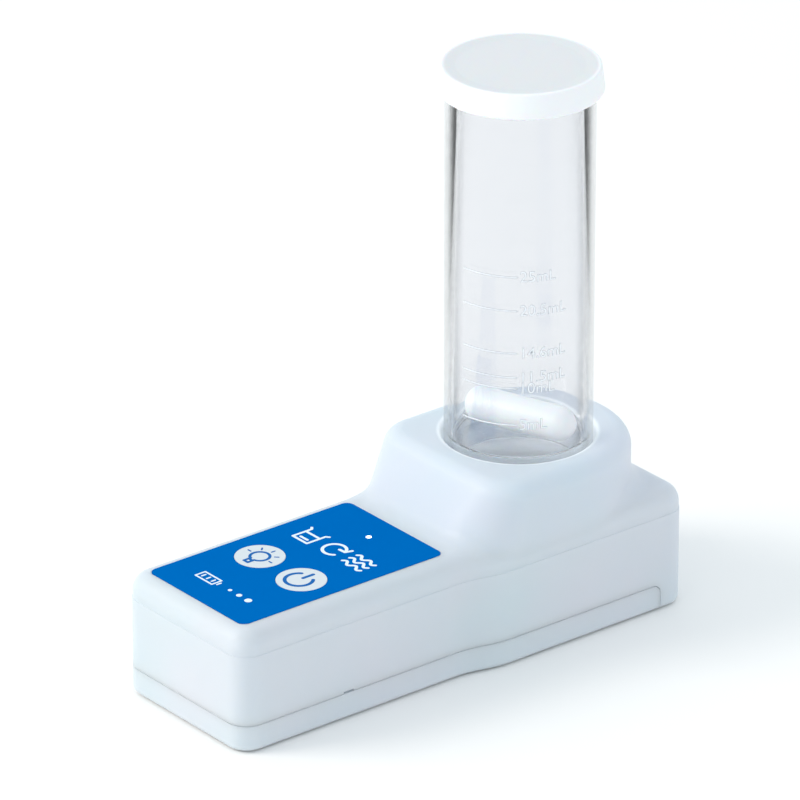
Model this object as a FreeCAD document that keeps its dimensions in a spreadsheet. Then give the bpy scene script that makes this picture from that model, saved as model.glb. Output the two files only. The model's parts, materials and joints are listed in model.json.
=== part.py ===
import FreeCAD, Part
import math
import os
from types import SimpleNamespace

import Sketcher

# Pocket magnetic stirrer with a 25 mL sample tube: a battery handle, a raised head with a well,
# a spinning magnet carrier under the well, and a tube that holds a coated stir bar.
# Frame: millimetres, +Z up, +Y from the handle end to the head, origin under the middle.

# ---------------------------------------------------------------- driving sizes
SIZES = {
    # case
    "body_length": 115.9,
    "case_wall": 2.0,
    "foot_proud": 0.3,
    "base_height": 6.0,
    "base_round": 1.4,
    "corner_radius": 4.8,
    "deck_rise": 5.53,
    "deck_round": 4.2,
    "crease_step": 0.12,
    "seam_gap": 0.12,
    "heel_length": 7.4,
    "heel_round": 2.0,
    # flare from the narrow handle to the wide head
    "flare_step": 2.05,
    "head_wall": 5.83,
    "flare_before_ramp": 4.0,
    "flare_length": 14.0,
    # raised head
    "boss_rise": 12.57,
    "boss_inset": 0.35,
    "boss_back_shift": 2.5,
    "boss_corner": 8.0,
    "boss_corner_low": 14.0,
    "boss_round": 4.0,
    "well_to_ramp": 5.28,
    "ramp_run": 7.6,
    "ramp_blend": 4.5,
    "well_lip_round": 0.7,
    "pry_slot_from_front": 26.0,
    "pry_slot_length": 2.6,
    "pry_slot_height": 0.4,
    "well_to_back": 12.03,
    # cells and their tray
    "cell_radius": 5.25,
    "cell_length": 44.5,
    "cell_spacing": 0.5,
    "cell_side_gap": 0.35,
    "cell_top_gap": 0.3,
    "nub_radius": 1.9,
    "nub_height": 0.9,
    "tray_wall": 0.9,
    "tray_end_wall": 1.2,
    "tray_top": 1.2,
    "tray_gap": 0.3,
    "tray_front_gap": 1.9,
    "tray_bottom_gap": 2.2,
    "plus_room": 1.2,
    "minus_room": 3.0,
    "contact_sheet": 0.4,
    "contact_half_height": 4.0,
    "contact_width": 7.0,
    "pad_thickness": 1.5,
    "pad_gap": 0.2,
    # main board
    "board_gap": 3.3,
    "board_thickness": 1.6,
    "board_edge_gap": 2.4,
    "board_front_gap": 5.2,
    "board_rear_gap": 2.2,
    "board_hole_inset": 3.0,
    "post_length": 4.38,
    "post_radius": 2.2,
    "screw_radius": 0.95,
    "screw_head_radius": 1.7,
    "screw_head_height": 1.1,
    "screw_length": 5.0,
    # control panel
    "panel_margin_side": 4.1,
    "panel_margin_front": 3.55,
    "panel_margin_ramp": 3.6,
    "panel_corner": 1.8,
    "panel_recess": 0.25,
    "panel_thickness": 0.3,
    "button_radius": 5.25,
    "button_thickness": 0.7,
    "button_gap": 0.08,
    "button_travel": 0.4,
    "button_spacing": 6.83,
    "button_from_edge": 21.8,
    "stem_radius": 1.5,
    "status_radius": 0.6,
    "status_gap": 0.08,
    "status_from_edge": 7.1,
    "switch_side": 6.0,
    "switch_height": 2.4,
    "plunger_rise": 0.5,
    "plunger_depth": 1.4,
    # well and sample tube
    "tube_radius": 15.5,
    "tube_wall": 1.6,
    "tube_height": 91.2,
    "tube_foot_height": 8.85,
    "tube_floor": 2.0,
    "well_gap": 0.52,
    "well_floor_rise": 1.77,
    "well_floor": 1.6,
    "seat_gap": 0.02,
    "cap_skirt_wall": 1.75,
    "cap_top_inset": 0.75,
    "cap_height": 5.6,
    "cap_top": 1.6,
    "cap_gap": 0.06,
    "cap_dish": 0.25,
    "cap_round": 0.5,
    "plug_depth": 3.6,
    "plug_wall": 1.1,
    "stir_bar_end_gap": 1.1,
    "stir_bar_radius": 3.65,
    "stir_magnet_radius": 2.2,
    "stir_magnet_end_wall": 3.3,
    "stir_bar_turn": 22.0,
    # drive under the well
    "ring_gap": 0.2,
    "ring_clearance": 1.4,
    "ring_width": 3.8,
    "ring_thickness": 1.0,
    "ring_room": 0.8,
    "lamp_height": 0.6,
    "lamp_length": 2.6,
    "lamp_width": 1.6,
    "carrier_gap": 1.25,
    "carrier_radius": 12.0,
    "carrier_height": 5.2,
    "magnet_radius": 3.9,
    "magnet_height": 3.6,
    "magnet_offset": 7.4,
    "shaft_radius": 1.0,
    "shaft_gap": 0.05,
    "shaft_depth": 6.0,
    "bracket_gap": 1.7,
    "bracket_thickness": 1.5,
    "bracket_half": 15.7,
    "bracket_post_radius": 1.55,
    "bracket_post_offset": 13.75,
    "motor_radius": 12.2,
    "motor_height": 12.3,
    "motor_cap_height": 1.4,
    "bearing_radius": 3.0,
    # feet and leads
    "pad_foot_radius": 3.1,
    "pad_foot_thickness": 1.1,
    "pad_foot_inset": 7.5,
    "lead_radius": 0.55,
    "lead_bend": 1.5,
    "lead_run": 7.5,
    "lead_spacing": 2.2,
    "lead_rise": 0.65,
    "lead_inset": 5.0,
    # small fittings
    "screw_gap": 0.03,
    "tongue_gap": 0.2,
    "tongue_root": 6.0,
    "tongue_reach": 3.5,
    "tongue_thickness": 1.4,
    "tongue_width": 28.0,
    "tab_offset": 9.0,
    "tab_width": 6.0,
    "tab_depth": 1.4,
    "tab_gap": 0.3,
    "tab_rise": 1.6,
    "status_collar": 0.8,
    "chip_side": 7.0,
    "chip_height": 1.2,
    "chip_leg_pitch": 1.27,
    "chip_leg_width": 0.4,
    "chip_leg_reach": 1.0,
    "coil_radius": 2.4,
    "coil_height": 3.4,
    "connector_half": 2.6,
    "connector_depth": 2.6,
    "connector_from_rear": 5.2,
    "pillar_span": 26.0,
    "pad_inset": 8.0,
    "fitting_gap": 0.4,
    "leaf_tip": 0.3,
    "leaf_root": 1.0,
    "link_height": 1.6,
    "motor_round": 0.8,
    "motor_screw_offset": 7.5,
    "motor_screw_depth": 2.5,
}


class Size:
    """A number with the sheet formula that gives it, so that sizes can be added up by name."""

    def __init__(self, text, value):
        self.text = text
        self.value = value

    def __add__(self, other):
        other = as_size(other)
        return Size(f"({self.text} + {other.text})", self.value + other.value)

    def __sub__(self, other):
        other = as_size(other)
        return Size(f"({self.text} - {other.text})", self.value - other.value)

    def __mul__(self, factor):
        factor = as_size(factor)
        return Size(f"({self.text} * {factor.text})", self.value * factor.value)

    def __truediv__(self, divisor):
        return self * (1 / divisor)

    def __neg__(self):
        return self * -1


def as_size(number):
    """Take a plain number as a size of its own."""
    return number if isinstance(number, Size) else Size(repr(number), number)


def widest(first, second):
    """The larger of two sizes, where one width must take in two things."""
    return Size(f"max({first.text}; {second.text})", max(first.value, second.value))


doc = FreeCAD.newDocument("magnetic_stirrer")
sheet = doc.addObject("Spreadsheet::Sheet", "sizes")
for row, (alias, number) in enumerate(SIZES.items(), start=1):
    sheet.set(f"A{row}", alias)
    sheet.set(f"B{row}", str(number))
    sheet.setAlias(f"B{row}", alias)
doc.recompute()
s = SimpleNamespace(**{alias: Size(f"sizes.{alias}", number) for alias, number in SIZES.items()})
ZERO = as_size(0)

# ---------------------------------------------------------------- places worked out from the sizes
FRONT = -s.body_length / 2
BACK = s.body_length / 2
WELL_RADIUS = s.tube_radius + s.well_gap
TUBE_Y = BACK - WELL_RADIUS - s.well_to_back
RAMP_TOP = TUBE_Y - WELL_RADIUS - s.well_to_ramp
RAMP_FOOT = RAMP_TOP - s.ramp_run
FLARE_START = RAMP_FOOT - s.flare_before_ramp
FLARE_END = FLARE_START + s.flare_length
HEEL_FACE = BACK - s.heel_length

CELL_PITCH = s.cell_radius * 2 + s.cell_spacing
TRAY_INNER_HALF = CELL_PITCH + s.cell_radius + s.cell_side_gap
TRAY_HALF = TRAY_INNER_HALF + s.tray_wall
NECK_HALF = TRAY_HALF + s.tray_gap + s.case_wall
HEAD_HALF = widest(NECK_HALF + s.flare_step, WELL_RADIUS + s.head_wall)
BOSS_HALF = HEAD_HALF - s.boss_inset
RIGHT_ACROSS = HEAD_HALF * 4  # a cut this wide goes through both sides of the case

FLOOR_TOP = s.foot_proud + s.case_wall
SEAM_Z = s.foot_proud + s.base_height
CELL_Z = FLOOR_TOP + s.pad_thickness + s.pad_gap + s.cell_radius
TRAY_UNDER = CELL_Z + s.cell_radius + s.cell_top_gap
TRAY_TOP_Z = TRAY_UNDER + s.tray_top
TRAY_BOTTOM = SEAM_Z + s.tray_bottom_gap
BOARD_Z = TRAY_TOP_Z + s.board_gap
BOARD_TOP = BOARD_Z + s.board_thickness
DECK_UNDER = BOARD_TOP + s.post_length
DECK_Z = DECK_UNDER + s.case_wall
SHOULDER_Z = DECK_Z - s.deck_rise
BOSS_Z = DECK_Z + s.boss_rise
WELL_FLOOR_Z = DECK_Z + s.well_floor_rise
WELL_UNDER = WELL_FLOOR_Z - s.well_floor

TRAY_FRONT = FRONT + s.case_wall + s.tray_front_gap
CELL_ROOM = s.plus_room + s.cell_length + s.minus_room
TRAY_REAR = TRAY_FRONT + s.tray_end_wall * 2 + CELL_ROOM
BOSS_CENTRE_Y = TUBE_Y + s.boss_back_shift

PANEL_FRONT = FRONT + s.panel_margin_front
PANEL_REAR = RAMP_FOOT - s.panel_margin_ramp
PANEL_HALF = NECK_HALF - s.panel_margin_side
PANEL_Z = DECK_Z - s.panel_recess
PANEL_TOP = PANEL_Z + s.panel_thickness
BUTTON_Y = PANEL_FRONT + s.button_from_edge
BUTTON_UNDER = PANEL_TOP - s.button_thickness
BUTTON_WELL_Z = BUTTON_UNDER - s.button_travel - s.button_gap
STATUS_Y = PANEL_REAR - s.status_from_edge
SWITCH_TOP = BOARD_TOP + s.switch_height
PLUNGER_TOP = SWITCH_TOP + s.plunger_rise
PLUNGER_Z = PLUNGER_TOP - s.plunger_depth

RING_INNER = s.carrier_radius + s.ring_clearance
RING_OUTER = RING_INNER + s.ring_width
LAMP_Z = WELL_UNDER - s.ring_gap - s.lamp_height
RING_Z = LAMP_Z - s.ring_thickness
CARRIER_TOP = WELL_UNDER - s.carrier_gap
CARRIER_Z = CARRIER_TOP - s.carrier_height
BRACKET_TOP = CARRIER_Z - s.bracket_gap
MOTOR_TOP = BRACKET_TOP - s.bracket_thickness
MOTOR_Z = MOTOR_TOP - s.motor_height

BOARD_HALF = NECK_HALF - s.case_wall - s.board_edge_gap
BOARD_FRONT = FRONT + s.board_front_gap
BOARD_REAR = TUBE_Y - s.bracket_half - s.board_rear_gap
BOARD_HOLE_X = BOARD_HALF - s.board_hole_inset
BOARD_HOLE_YS = (BOARD_FRONT + s.board_hole_inset, BOARD_REAR - s.board_hole_inset)
PILLAR_FRONT = BOARD_HOLE_YS[0] + s.screw_head_radius + s.fitting_gap + s.post_radius
CONNECTOR_X = BOARD_HOLE_X - s.post_radius - s.fitting_gap - s.connector_half
CHIP_Y = BUTTON_Y - s.switch_side / 2 - s.fitting_gap - s.chip_side / 2
COIL_X = s.chip_side / 2 + s.chip_leg_reach + s.fitting_gap + s.coil_radius

TUBE_Z = WELL_FLOOR_Z + s.seat_gap
TUBE_TOP = TUBE_Z + s.tube_height
TUBE_FLOOR_Z = TUBE_Z + s.tube_foot_height + s.tube_floor
CAP_UNDER = TUBE_TOP + s.seat_gap
STIR_Z = TUBE_FLOOR_Z + s.seat_gap + s.stir_bar_radius
STIR_HALF = s.tube_radius - s.tube_wall - s.stir_bar_end_gap
STIR_MAGNET_HALF = STIR_HALF - s.stir_magnet_end_wall

FOOT_X = NECK_HALF - s.pad_foot_inset
FOOT_FRONT_Y = FRONT + s.pad_foot_inset
FOOT_REAR_Y = BACK - s.heel_length / 2

SIDES = ((-1, "left"), (1, "right"))
nodes = []


# ---------------------------------------------------------------- modelling helpers
def bind(obj, prop, length):
    """Tie a property to the sheet."""
    obj.setExpression(prop, as_size(length).text)


def new_body(name, x=ZERO, y=ZERO, z=ZERO):
    """Start the body of one piece; its sketches are drawn about the given place."""
    body = doc.addObject("PartDesign::Body", name)
    body.Label = name
    for axis, place in zip("xyz", (x, y, z)):
        bind(body, f"Placement.Base.{axis}", place)
    nodes.append(body)
    return body


def new_sketch(body, role="XY_Plane", offset=ZERO):
    """Start a sketch on one of the body's own planes, moved along that plane's normal."""
    sketch = body.newObject("Sketcher::SketchObject", f"{body.Name}_sketch")
    plane = next(item for item in body.Origin.OriginFeatures if item.Role == role)
    sketch.AttachmentSupport = [(plane, "")]
    sketch.MapMode = "FlatFace"
    bind(sketch, "AttachmentOffset.Base.z", offset)
    return sketch


def dimension(sketch, kind, ids, length):
    """Add a constraint whose value follows the sheet."""
    index = sketch.addConstraint(Sketcher.Constraint(kind, *ids, length.value))
    sketch.setExpression(f"Constraints[{index}]", length.text)


def pin_point(sketch, geometry, end, x, y):
    """Hold a point of the sketch at x, y from the sketch's origin."""
    for kind, axis, length in (("DistanceX", -2, as_size(x)), ("DistanceY", -1, as_size(y))):
        if length.value == 0:
            sketch.addConstraint(Sketcher.Constraint("PointOnObject", geometry, end, axis))
        else:
            dimension(sketch, kind, (-1, 1, geometry, end), length)


def draw_circle(sketch, x, y, radius):
    """Draw a circle held by its centre and radius."""
    x, y = as_size(x), as_size(y)
    shape = Part.Circle(FreeCAD.Vector(x.value, y.value, 0), FreeCAD.Vector(0, 0, 1), radius.value)
    circle = sketch.addGeometry(shape, False)
    pin_point(sketch, circle, 3, x, y)
    dimension(sketch, "Radius", (circle,), radius)


def draw_polygon(sketch, points):
    """Draw a closed polygon held by every corner."""
    points = [(as_size(x), as_size(y)) for x, y in points]
    corners = [FreeCAD.Vector(x.value, y.value, 0) for x, y in points]
    following = corners[1:] + corners[:1]
    lines = sketch.addGeometry([Part.LineSegment(a, b) for a, b in zip(corners, following)], False)
    for line, after in zip(lines, lines[1:] + lines[:1]):
        sketch.addConstraint(Sketcher.Constraint("Coincident", line, 2, after, 1))
    for line, (x, y) in zip(lines, points):
        pin_point(sketch, line, 1, x, y)


def draw_rectangle(sketch, left, low, right, high):
    """Draw an upright rectangle."""
    draw_polygon(sketch, [(left, low), (right, low), (right, high), (left, high)])


def arc(centre_x, centre_y, radius, start, end):
    """An arc, counter-clockwise from one angle in degrees to another."""
    circle = Part.Circle(FreeCAD.Vector(centre_x, centre_y, 0), FreeCAD.Vector(0, 0, 1), radius)
    return Part.ArcOfCircle(circle, math.radians(start), math.radians(end))


def segment(x0, y0, x1, y1):
    """A straight sketch line."""
    return Part.LineSegment(FreeCAD.Vector(x0, y0, 0), FreeCAD.Vector(x1, y1, 0))


def draw_case_outline(sketch, inset):
    """Draw the plan of the case, set in by a wall: narrow handle, S flare, wide head.

    The sides run counter-clockwise. Each flare is two equal arcs that meet half way.
    """
    neck, head = NECK_HALF - inset, HEAD_HALF - inset
    corner = s.corner_radius - inset
    front, back = FRONT + inset, BACK - inset
    n, w, r = neck.value, head.value, corner.value
    y0, y1, f0, f1 = front.value, back.value, FLARE_START.value, FLARE_END.value
    rise, run = w - n, f1 - f0
    radius = (rise * rise + run * run) / (4 * rise)
    lean = math.degrees(math.asin(run / (2 * radius)))
    shapes = [
        segment(-(n - r), y0, n - r, y0),
        arc(n - r, y0 + r, r, -90, 0),
        segment(n, y0 + r, n, f0),
        arc(n + radius, f0, radius, 180 - lean, 180),
        arc(w - radius, f1, radius, -lean, 0),
        segment(w, f1, w, y1 - r),
        arc(w - r, y1 - r, r, 0, 90),
        segment(w - r, y1, -(w - r), y1),
        arc(-(w - r), y1 - r, r, 90, 180),
        segment(-w, y1 - r, -w, f1),
        arc(-(w - radius), f1, radius, 180, 180 + lean),
        arc(-(n + radius), f0, radius, 0, lean),
        segment(-n, f0, -n, y0 + r),
        arc(-(n - r), y0 + r, r, 180, 270),
    ]
    ids = sketch.addGeometry(shapes, False)
    # the two arcs next to the handle run clockwise along the outline, so their ends swap
    first = {3: 2, 11: 2}
    for index, shape_id in enumerate(ids):
        after = ids[(index + 1) % len(ids)]
        leave = 1 if index in first else 2
        enter = first.get((index + 1) % len(ids), 1)
        sketch.addConstraint(Sketcher.Constraint("Tangent", shape_id, leave, after, enter))
    sketch.addConstraint(Sketcher.Constraint("Horizontal", ids[0]))
    sketch.addConstraint(Sketcher.Constraint("Horizontal", ids[7]))
    dimension(sketch, "DistanceY", (-1, 1, ids[0], 1), front)
    dimension(sketch, "DistanceY", (-1, 1, ids[7], 1), back)
    for neck_line, head_line, flare_pair, corners, flare_ends, sign in (
        (ids[2], ids[5], (ids[3], ids[4]), (ids[1], ids[6]), (2, 1), 1),
        (ids[12], ids[9], (ids[11], ids[10]), (ids[13], ids[8]), (1, 2), -1),
    ):
        sketch.addConstraint(Sketcher.Constraint("Vertical", neck_line))
        sketch.addConstraint(Sketcher.Constraint("Vertical", head_line))
        sketch.addConstraint(Sketcher.Constraint("Equal", *flare_pair))
        dimension(sketch, "DistanceX", (-1, 1, neck_line, 1), neck * sign)
        dimension(sketch, "DistanceX", (-1, 1, head_line, 1), head * sign)
        dimension(sketch, "DistanceY", (-1, 1, neck_line, flare_ends[0]), FLARE_START)
        dimension(sketch, "DistanceY", (-1, 1, head_line, flare_ends[1]), FLARE_END)
        for corner_id in corners:
            dimension(sketch, "Radius", (corner_id,), corner)


def draw_boss_outline(sketch, front, corner):
    """Draw the plan of the raised head: rounded front corners and a half-round back."""
    w, r, y0, y1 = BOSS_HALF.value, corner.value, front.value, BOSS_CENTRE_Y.value
    ids = sketch.addGeometry([
        segment(-(w - r), y0, w - r, y0),
        arc(w - r, y0 + r, r, -90, 0),
        segment(w, y0 + r, w, y1),
        arc(0, y1, w, 0, 180),
        segment(-w, y1, -w, y0 + r),
        arc(-(w - r), y0 + r, r, 180, 270),
    ], False)
    for shape_id, after in zip(ids, ids[1:] + ids[:1]):
        sketch.addConstraint(Sketcher.Constraint("Tangent", shape_id, 2, after, 1))
    sketch.addConstraint(Sketcher.Constraint("Horizontal", ids[0]))
    dimension(sketch, "DistanceY", (-1, 1, ids[0], 1), front)
    dimension(sketch, "DistanceY", (-1, 1, ids[3], 3), BOSS_CENTRE_Y)
    for side, corner_id, sign in ((ids[2], ids[1], 1), (ids[4], ids[5], -1)):
        sketch.addConstraint(Sketcher.Constraint("Vertical", side))
        dimension(sketch, "DistanceX", (-1, 1, side, 1), BOSS_HALF * sign)
        dimension(sketch, "Radius", (corner_id,), corner)


def draw_rounded_rectangle(sketch, left, low, right, high, corner):
    """Draw an upright rectangle with round corners."""
    x0, y0, x1, y1, r = left.value, low.value, right.value, high.value, corner.value
    ids = sketch.addGeometry([
        segment(x0 + r, y0, x1 - r, y0),
        arc(x1 - r, y0 + r, r, -90, 0),
        segment(x1, y0 + r, x1, y1 - r),
        arc(x1 - r, y1 - r, r, 0, 90),
        segment(x1 - r, y1, x0 + r, y1),
        arc(x0 + r, y1 - r, r, 90, 180),
        segment(x0, y1 - r, x0, y0 + r),
        arc(x0 + r, y0 + r, r, 180, 270),
    ], False)
    for shape_id, after in zip(ids, ids[1:] + ids[:1]):
        sketch.addConstraint(Sketcher.Constraint("Tangent", shape_id, 2, after, 1))
    for line, level in ((ids[0], low), (ids[4], high)):
        sketch.addConstraint(Sketcher.Constraint("Horizontal", line))
        dimension(sketch, "DistanceY", (-1, 1, line, 1), level)
    for line, side in ((ids[2], right), (ids[6], left)):
        sketch.addConstraint(Sketcher.Constraint("Vertical", line))
        dimension(sketch, "DistanceX", (-1, 1, line, 1), side)
    for corner_id in ids[1::2]:
        dimension(sketch, "Radius", (corner_id,), corner)


def pad(body, sketch, length, midplane=False):
    """Add the sketch's area, along its normal or both ways."""
    made = body.newObject("PartDesign::Pad", f"{body.Name}_pad")
    made.Profile = sketch
    made.Midplane = midplane
    bind(made, "Length", length)
    return made


def pocket(body, sketch, length, forward=True, midplane=False):
    """Cut the sketch's area, along its normal, against it or both ways, and make sure it cuts."""
    doc.recompute()
    before = body.Shape.Volume
    made = body.newObject("PartDesign::Pocket", f"{body.Name}_pocket")
    made.Profile = sketch
    made.Reversed = forward
    made.Midplane = midplane
    bind(made, "Length", length)
    doc.recompute()
    if not body.Shape.Volume < before:
        raise SystemExit(f"{made.Name} cuts nothing")
    return made


def loft(body, sketches):
    """Join sketches with straight walls."""
    made = body.newObject("PartDesign::AdditiveLoft", f"{body.Name}_loft")
    made.Profile = sketches[0]
    made.Sections = sketches[1:]
    made.Ruled = True
    return made


def revolve(body, points):
    """Turn a half profile, given as radius and height, about the body's Z axis."""
    sketch = new_sketch(body, "XZ_Plane")
    draw_polygon(sketch, points)
    made = body.newObject("PartDesign::Revolution", f"{body.Name}_turn")
    made.Profile = sketch
    made.ReferenceAxis = (sketch, ["V_Axis"])
    made.Angle = 360
    return made


def fillet(body, radius, chosen):
    """Round the edges of the body that pass a test on their bounding box."""
    doc.recompute()
    base = body.Tip
    names = [
        f"Edge{index}" for index, edge in enumerate(base.Shape.Edges, start=1)
        if chosen(edge.BoundBox, edge)
    ]
    if not names:
        raise SystemExit(f"{body.Name} has no edge to round")
    made = body.newObject("PartDesign::Fillet", f"{body.Name}_fillet")
    made.Base = (base, names)
    bind(made, "Radius", radius)
    doc.recompute()
    return made


def near(first, second):
    """Whether two numbers are the same to a thousandth of a millimetre."""
    return abs(first - as_size(second).value) < 1e-3


def flat_at(height):
    """A test for the edges that lie in one level plane."""
    return lambda box, edge: near(box.ZMin, height) and near(box.ZMax, height)


def block(body, left, front, low, right, back, high):
    """Add a box to a body."""
    sketch = new_sketch(body, offset=low)
    draw_rectangle(sketch, left, front, right, back)
    return pad(body, sketch, high - low)


def post(body, x, y, low, high, radius):
    """Add an upright round post to a body."""
    sketch = new_sketch(body, offset=low)
    draw_circle(sketch, x, y, radius)
    return pad(body, sketch, high - low)


def bore(body, x, y, low, high, radius):
    """Cut an upright round hole in a body."""
    sketch = new_sketch(body, offset=low)
    draw_circle(sketch, x, y, radius)
    return pocket(body, sketch, high - low)


def cavity(body, left, front, low, right, back, high):
    """Cut a box out of a body."""
    sketch = new_sketch(body, offset=low)
    draw_rectangle(sketch, left, front, right, back)
    return pocket(body, sketch, high - low)




# ---------------------------------------------------------------- case
def make_upper_housing():
    """The white case: walls, deck, raised head with the well, heel, posts and holes."""
    body = new_body("upper_housing")
    sketch = new_sketch(body, offset=s.foot_proud)
    draw_case_outline(sketch, ZERO)
    pad(body, sketch, SHOULDER_Z - s.foot_proud)

    # room for the base cover, which stops at the heel with a rounded corner
    side_view = new_sketch(body, "YZ_Plane")
    draw_rectangle(side_view, FRONT - s.case_wall, ZERO, HEEL_FACE, SEAM_Z)
    pocket(body, side_view, RIGHT_ACROSS, midplane=True)
    fillet(body, s.heel_round,
           lambda box, edge: near(box.YMin, HEEL_FACE) and near(box.YMax, HEEL_FACE)
           and near(box.ZMin, SEAM_Z) and near(box.ZMax, SEAM_Z))
    fillet(body, s.base_round,
           lambda box, edge: near(box.ZMax, s.foot_proud) and box.YMax > HEEL_FACE.value + 0.01)

    sketch = new_sketch(body, offset=SHOULDER_Z)
    draw_case_outline(sketch, s.crease_step)
    pad(body, sketch, s.deck_rise)
    fillet(body, s.deck_round, flat_at(DECK_Z))

    # the raised head leans back in front and grows out of the deck
    slope = s.ramp_run.value / s.boss_rise.value
    low, high = new_sketch(body, offset=SHOULDER_Z), new_sketch(body, offset=BOSS_Z)
    draw_boss_outline(low, RAMP_FOOT - s.deck_rise * slope, s.boss_corner_low)
    draw_boss_outline(high, RAMP_TOP, s.boss_corner)
    loft(body, [low, high])
    fillet(body, s.ramp_blend,
           lambda box, edge: near(box.ZMin, DECK_Z) and near(box.ZMax, DECK_Z)
           and box.YMin > RAMP_FOOT.value - 0.01
           and box.YMax < (RAMP_FOOT + s.boss_corner).value)
    fillet(body, s.boss_round, flat_at(BOSS_Z))

    # inside: one room under the deck and a round one under the well floor
    sketch = new_sketch(body, offset=FLOOR_TOP)
    draw_case_outline(sketch, s.case_wall)
    pocket(body, sketch, DECK_UNDER - FLOOR_TOP)
    bore(body, ZERO, TUBE_Y, DECK_UNDER, WELL_UNDER, RING_OUTER + s.ring_room)
    bore(body, ZERO, TUBE_Y, WELL_FLOOR_Z, BOSS_Z, WELL_RADIUS)
    fillet(body, s.well_lip_round,
           lambda box, edge: near(box.ZMin, BOSS_Z) and near(box.ZMax, BOSS_Z)
           and near(box.XLength, WELL_RADIUS * 2))

    # posts with pilot holes for the board and for the motor bracket
    for sign, _ in SIDES:
        for hole_y in BOARD_HOLE_YS:
            x = BOARD_HOLE_X * sign
            post(body, x, hole_y, BOARD_TOP, DECK_UNDER, s.post_radius)
            bore(body, x, hole_y, BOARD_TOP, BOARD_Z + s.screw_length + s.seat_gap,
                 s.screw_radius + s.screw_gap)
        for ahead in (-1, 1):
            x, y = s.bracket_post_offset * sign, TUBE_Y + s.bracket_post_offset * ahead
            post(body, x, y, BRACKET_TOP, DECK_UNDER, s.bracket_post_radius)
            bore(body, x, y, BRACKET_TOP, MOTOR_TOP + s.screw_length + s.seat_gap,
                 s.screw_radius + s.screw_gap)

    # recess of the control panel, wells of the two keys, hole of the status light
    sketch = new_sketch(body, offset=PANEL_Z)
    draw_rounded_rectangle(sketch, -PANEL_HALF - s.button_gap, PANEL_FRONT - s.button_gap,
                           PANEL_HALF + s.button_gap, PANEL_REAR + s.button_gap, s.panel_corner)
    pocket(body, sketch, s.case_wall)
    for sign, _ in SIDES:
        x = s.button_spacing * sign
        bore(body, x, BUTTON_Y, BUTTON_WELL_Z, DECK_Z, s.button_radius + s.button_gap)
        bore(body, x, BUTTON_Y, DECK_UNDER, DECK_Z, s.stem_radius + s.button_gap)
    bore(body, ZERO, STATUS_Y, DECK_UNDER, DECK_Z, s.status_radius + s.status_gap)

    # slot beside the seam for prising the base cover off
    slot_y = FRONT + s.pry_slot_from_front
    cavity(body, NECK_HALF - s.case_wall / 2, slot_y, SEAM_Z, NECK_HALF + s.case_wall,
           slot_y + s.pry_slot_length, SEAM_Z + s.pry_slot_height)
    for sign, _ in SIDES:
        bore(body, FOOT_X * sign, FOOT_REAR_Y, ZERO, s.pad_foot_thickness,
             s.pad_foot_radius + s.seat_gap)


def make_base_cover():
    """The cover under the handle and head, with a tongue that hooks into the heel."""
    body = new_body("base_cover")
    rear = HEEL_FACE - s.seam_gap
    top = SEAM_Z - s.seam_gap
    sketch = new_sketch(body, offset=s.foot_proud)
    draw_case_outline(sketch, ZERO)
    pad(body, sketch, top - s.foot_proud)
    side_view = new_sketch(body, "YZ_Plane")
    draw_rectangle(side_view, rear, ZERO, BACK + s.case_wall, SEAM_Z)
    pocket(body, side_view, RIGHT_ACROSS, midplane=True)
    fillet(body, s.heel_round,
           lambda box, edge: near(box.YMin, rear) and near(box.YMax, rear) and near(box.ZMin, top))
    fillet(body, s.base_round,
           lambda box, edge: near(box.ZMax, s.foot_proud) and box.YMin < rear.value - 0.01)
    sketch = new_sketch(body, offset=FLOOR_TOP)
    draw_case_outline(sketch, s.case_wall)
    pocket(body, sketch, s.base_height)

    # the tongue steps over the floor of the heel
    tongue = new_sketch(body, "YZ_Plane")
    sunk = FLOOR_TOP - s.tongue_gap
    raised = FLOOR_TOP + s.tongue_gap
    draw_polygon(tongue, [
        (rear - s.tongue_root, sunk), (rear, sunk), (rear, raised), (rear + s.tongue_reach, raised),
        (rear + s.tongue_reach, raised + s.tongue_thickness),
        (rear - s.tongue_root, raised + s.tongue_thickness),
    ])
    pad(body, tongue, s.tongue_width, midplane=True)

    # two snap tabs inside the front wall
    inner = FRONT + s.case_wall
    for sign, _ in SIDES:
        tab = new_sketch(body, "YZ_Plane", s.tab_offset * sign)
        draw_polygon(tab, [
            (inner - s.tongue_gap, FLOOR_TOP - s.tongue_gap),
            (inner + s.tab_depth, FLOOR_TOP - s.tongue_gap),
            (inner + s.tab_depth, SEAM_Z + s.tab_rise),
            (inner + s.tab_gap, SEAM_Z + s.tab_rise),
            (inner + s.tab_gap, top - s.tongue_gap),
            (inner - s.tongue_gap, top - s.tongue_gap),
        ])
        pad(body, tab, s.tab_width, midplane=True)
        bore(body, FOOT_X * sign, FOOT_FRONT_Y, ZERO, s.pad_foot_thickness,
             s.pad_foot_radius + s.seat_gap)


def make_feet():
    """Four rubber feet: two under the base cover and two under the heel."""
    for where, y in (("front", FOOT_FRONT_Y), ("rear", FOOT_REAR_Y)):
        for sign, side in SIDES:
            body = new_body(f"foot_{where}_{side}", FOOT_X * sign, y)
            post(body, ZERO, ZERO, ZERO, s.pad_foot_thickness, s.pad_foot_radius)


# ---------------------------------------------------------------- control panel
def make_control_panel():
    """The thin printed overlay with its three holes."""
    body = new_body("control_overlay")
    sketch = new_sketch(body, offset=PANEL_Z)
    draw_rounded_rectangle(sketch, -PANEL_HALF, PANEL_FRONT, PANEL_HALF, PANEL_REAR, s.panel_corner)
    draw_circle(sketch, ZERO, STATUS_Y, s.status_radius + s.status_gap)
    for sign, _ in SIDES:
        draw_circle(sketch, s.button_spacing * sign, BUTTON_Y, s.button_radius + s.button_gap)
    pad(body, sketch, s.panel_thickness)


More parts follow.
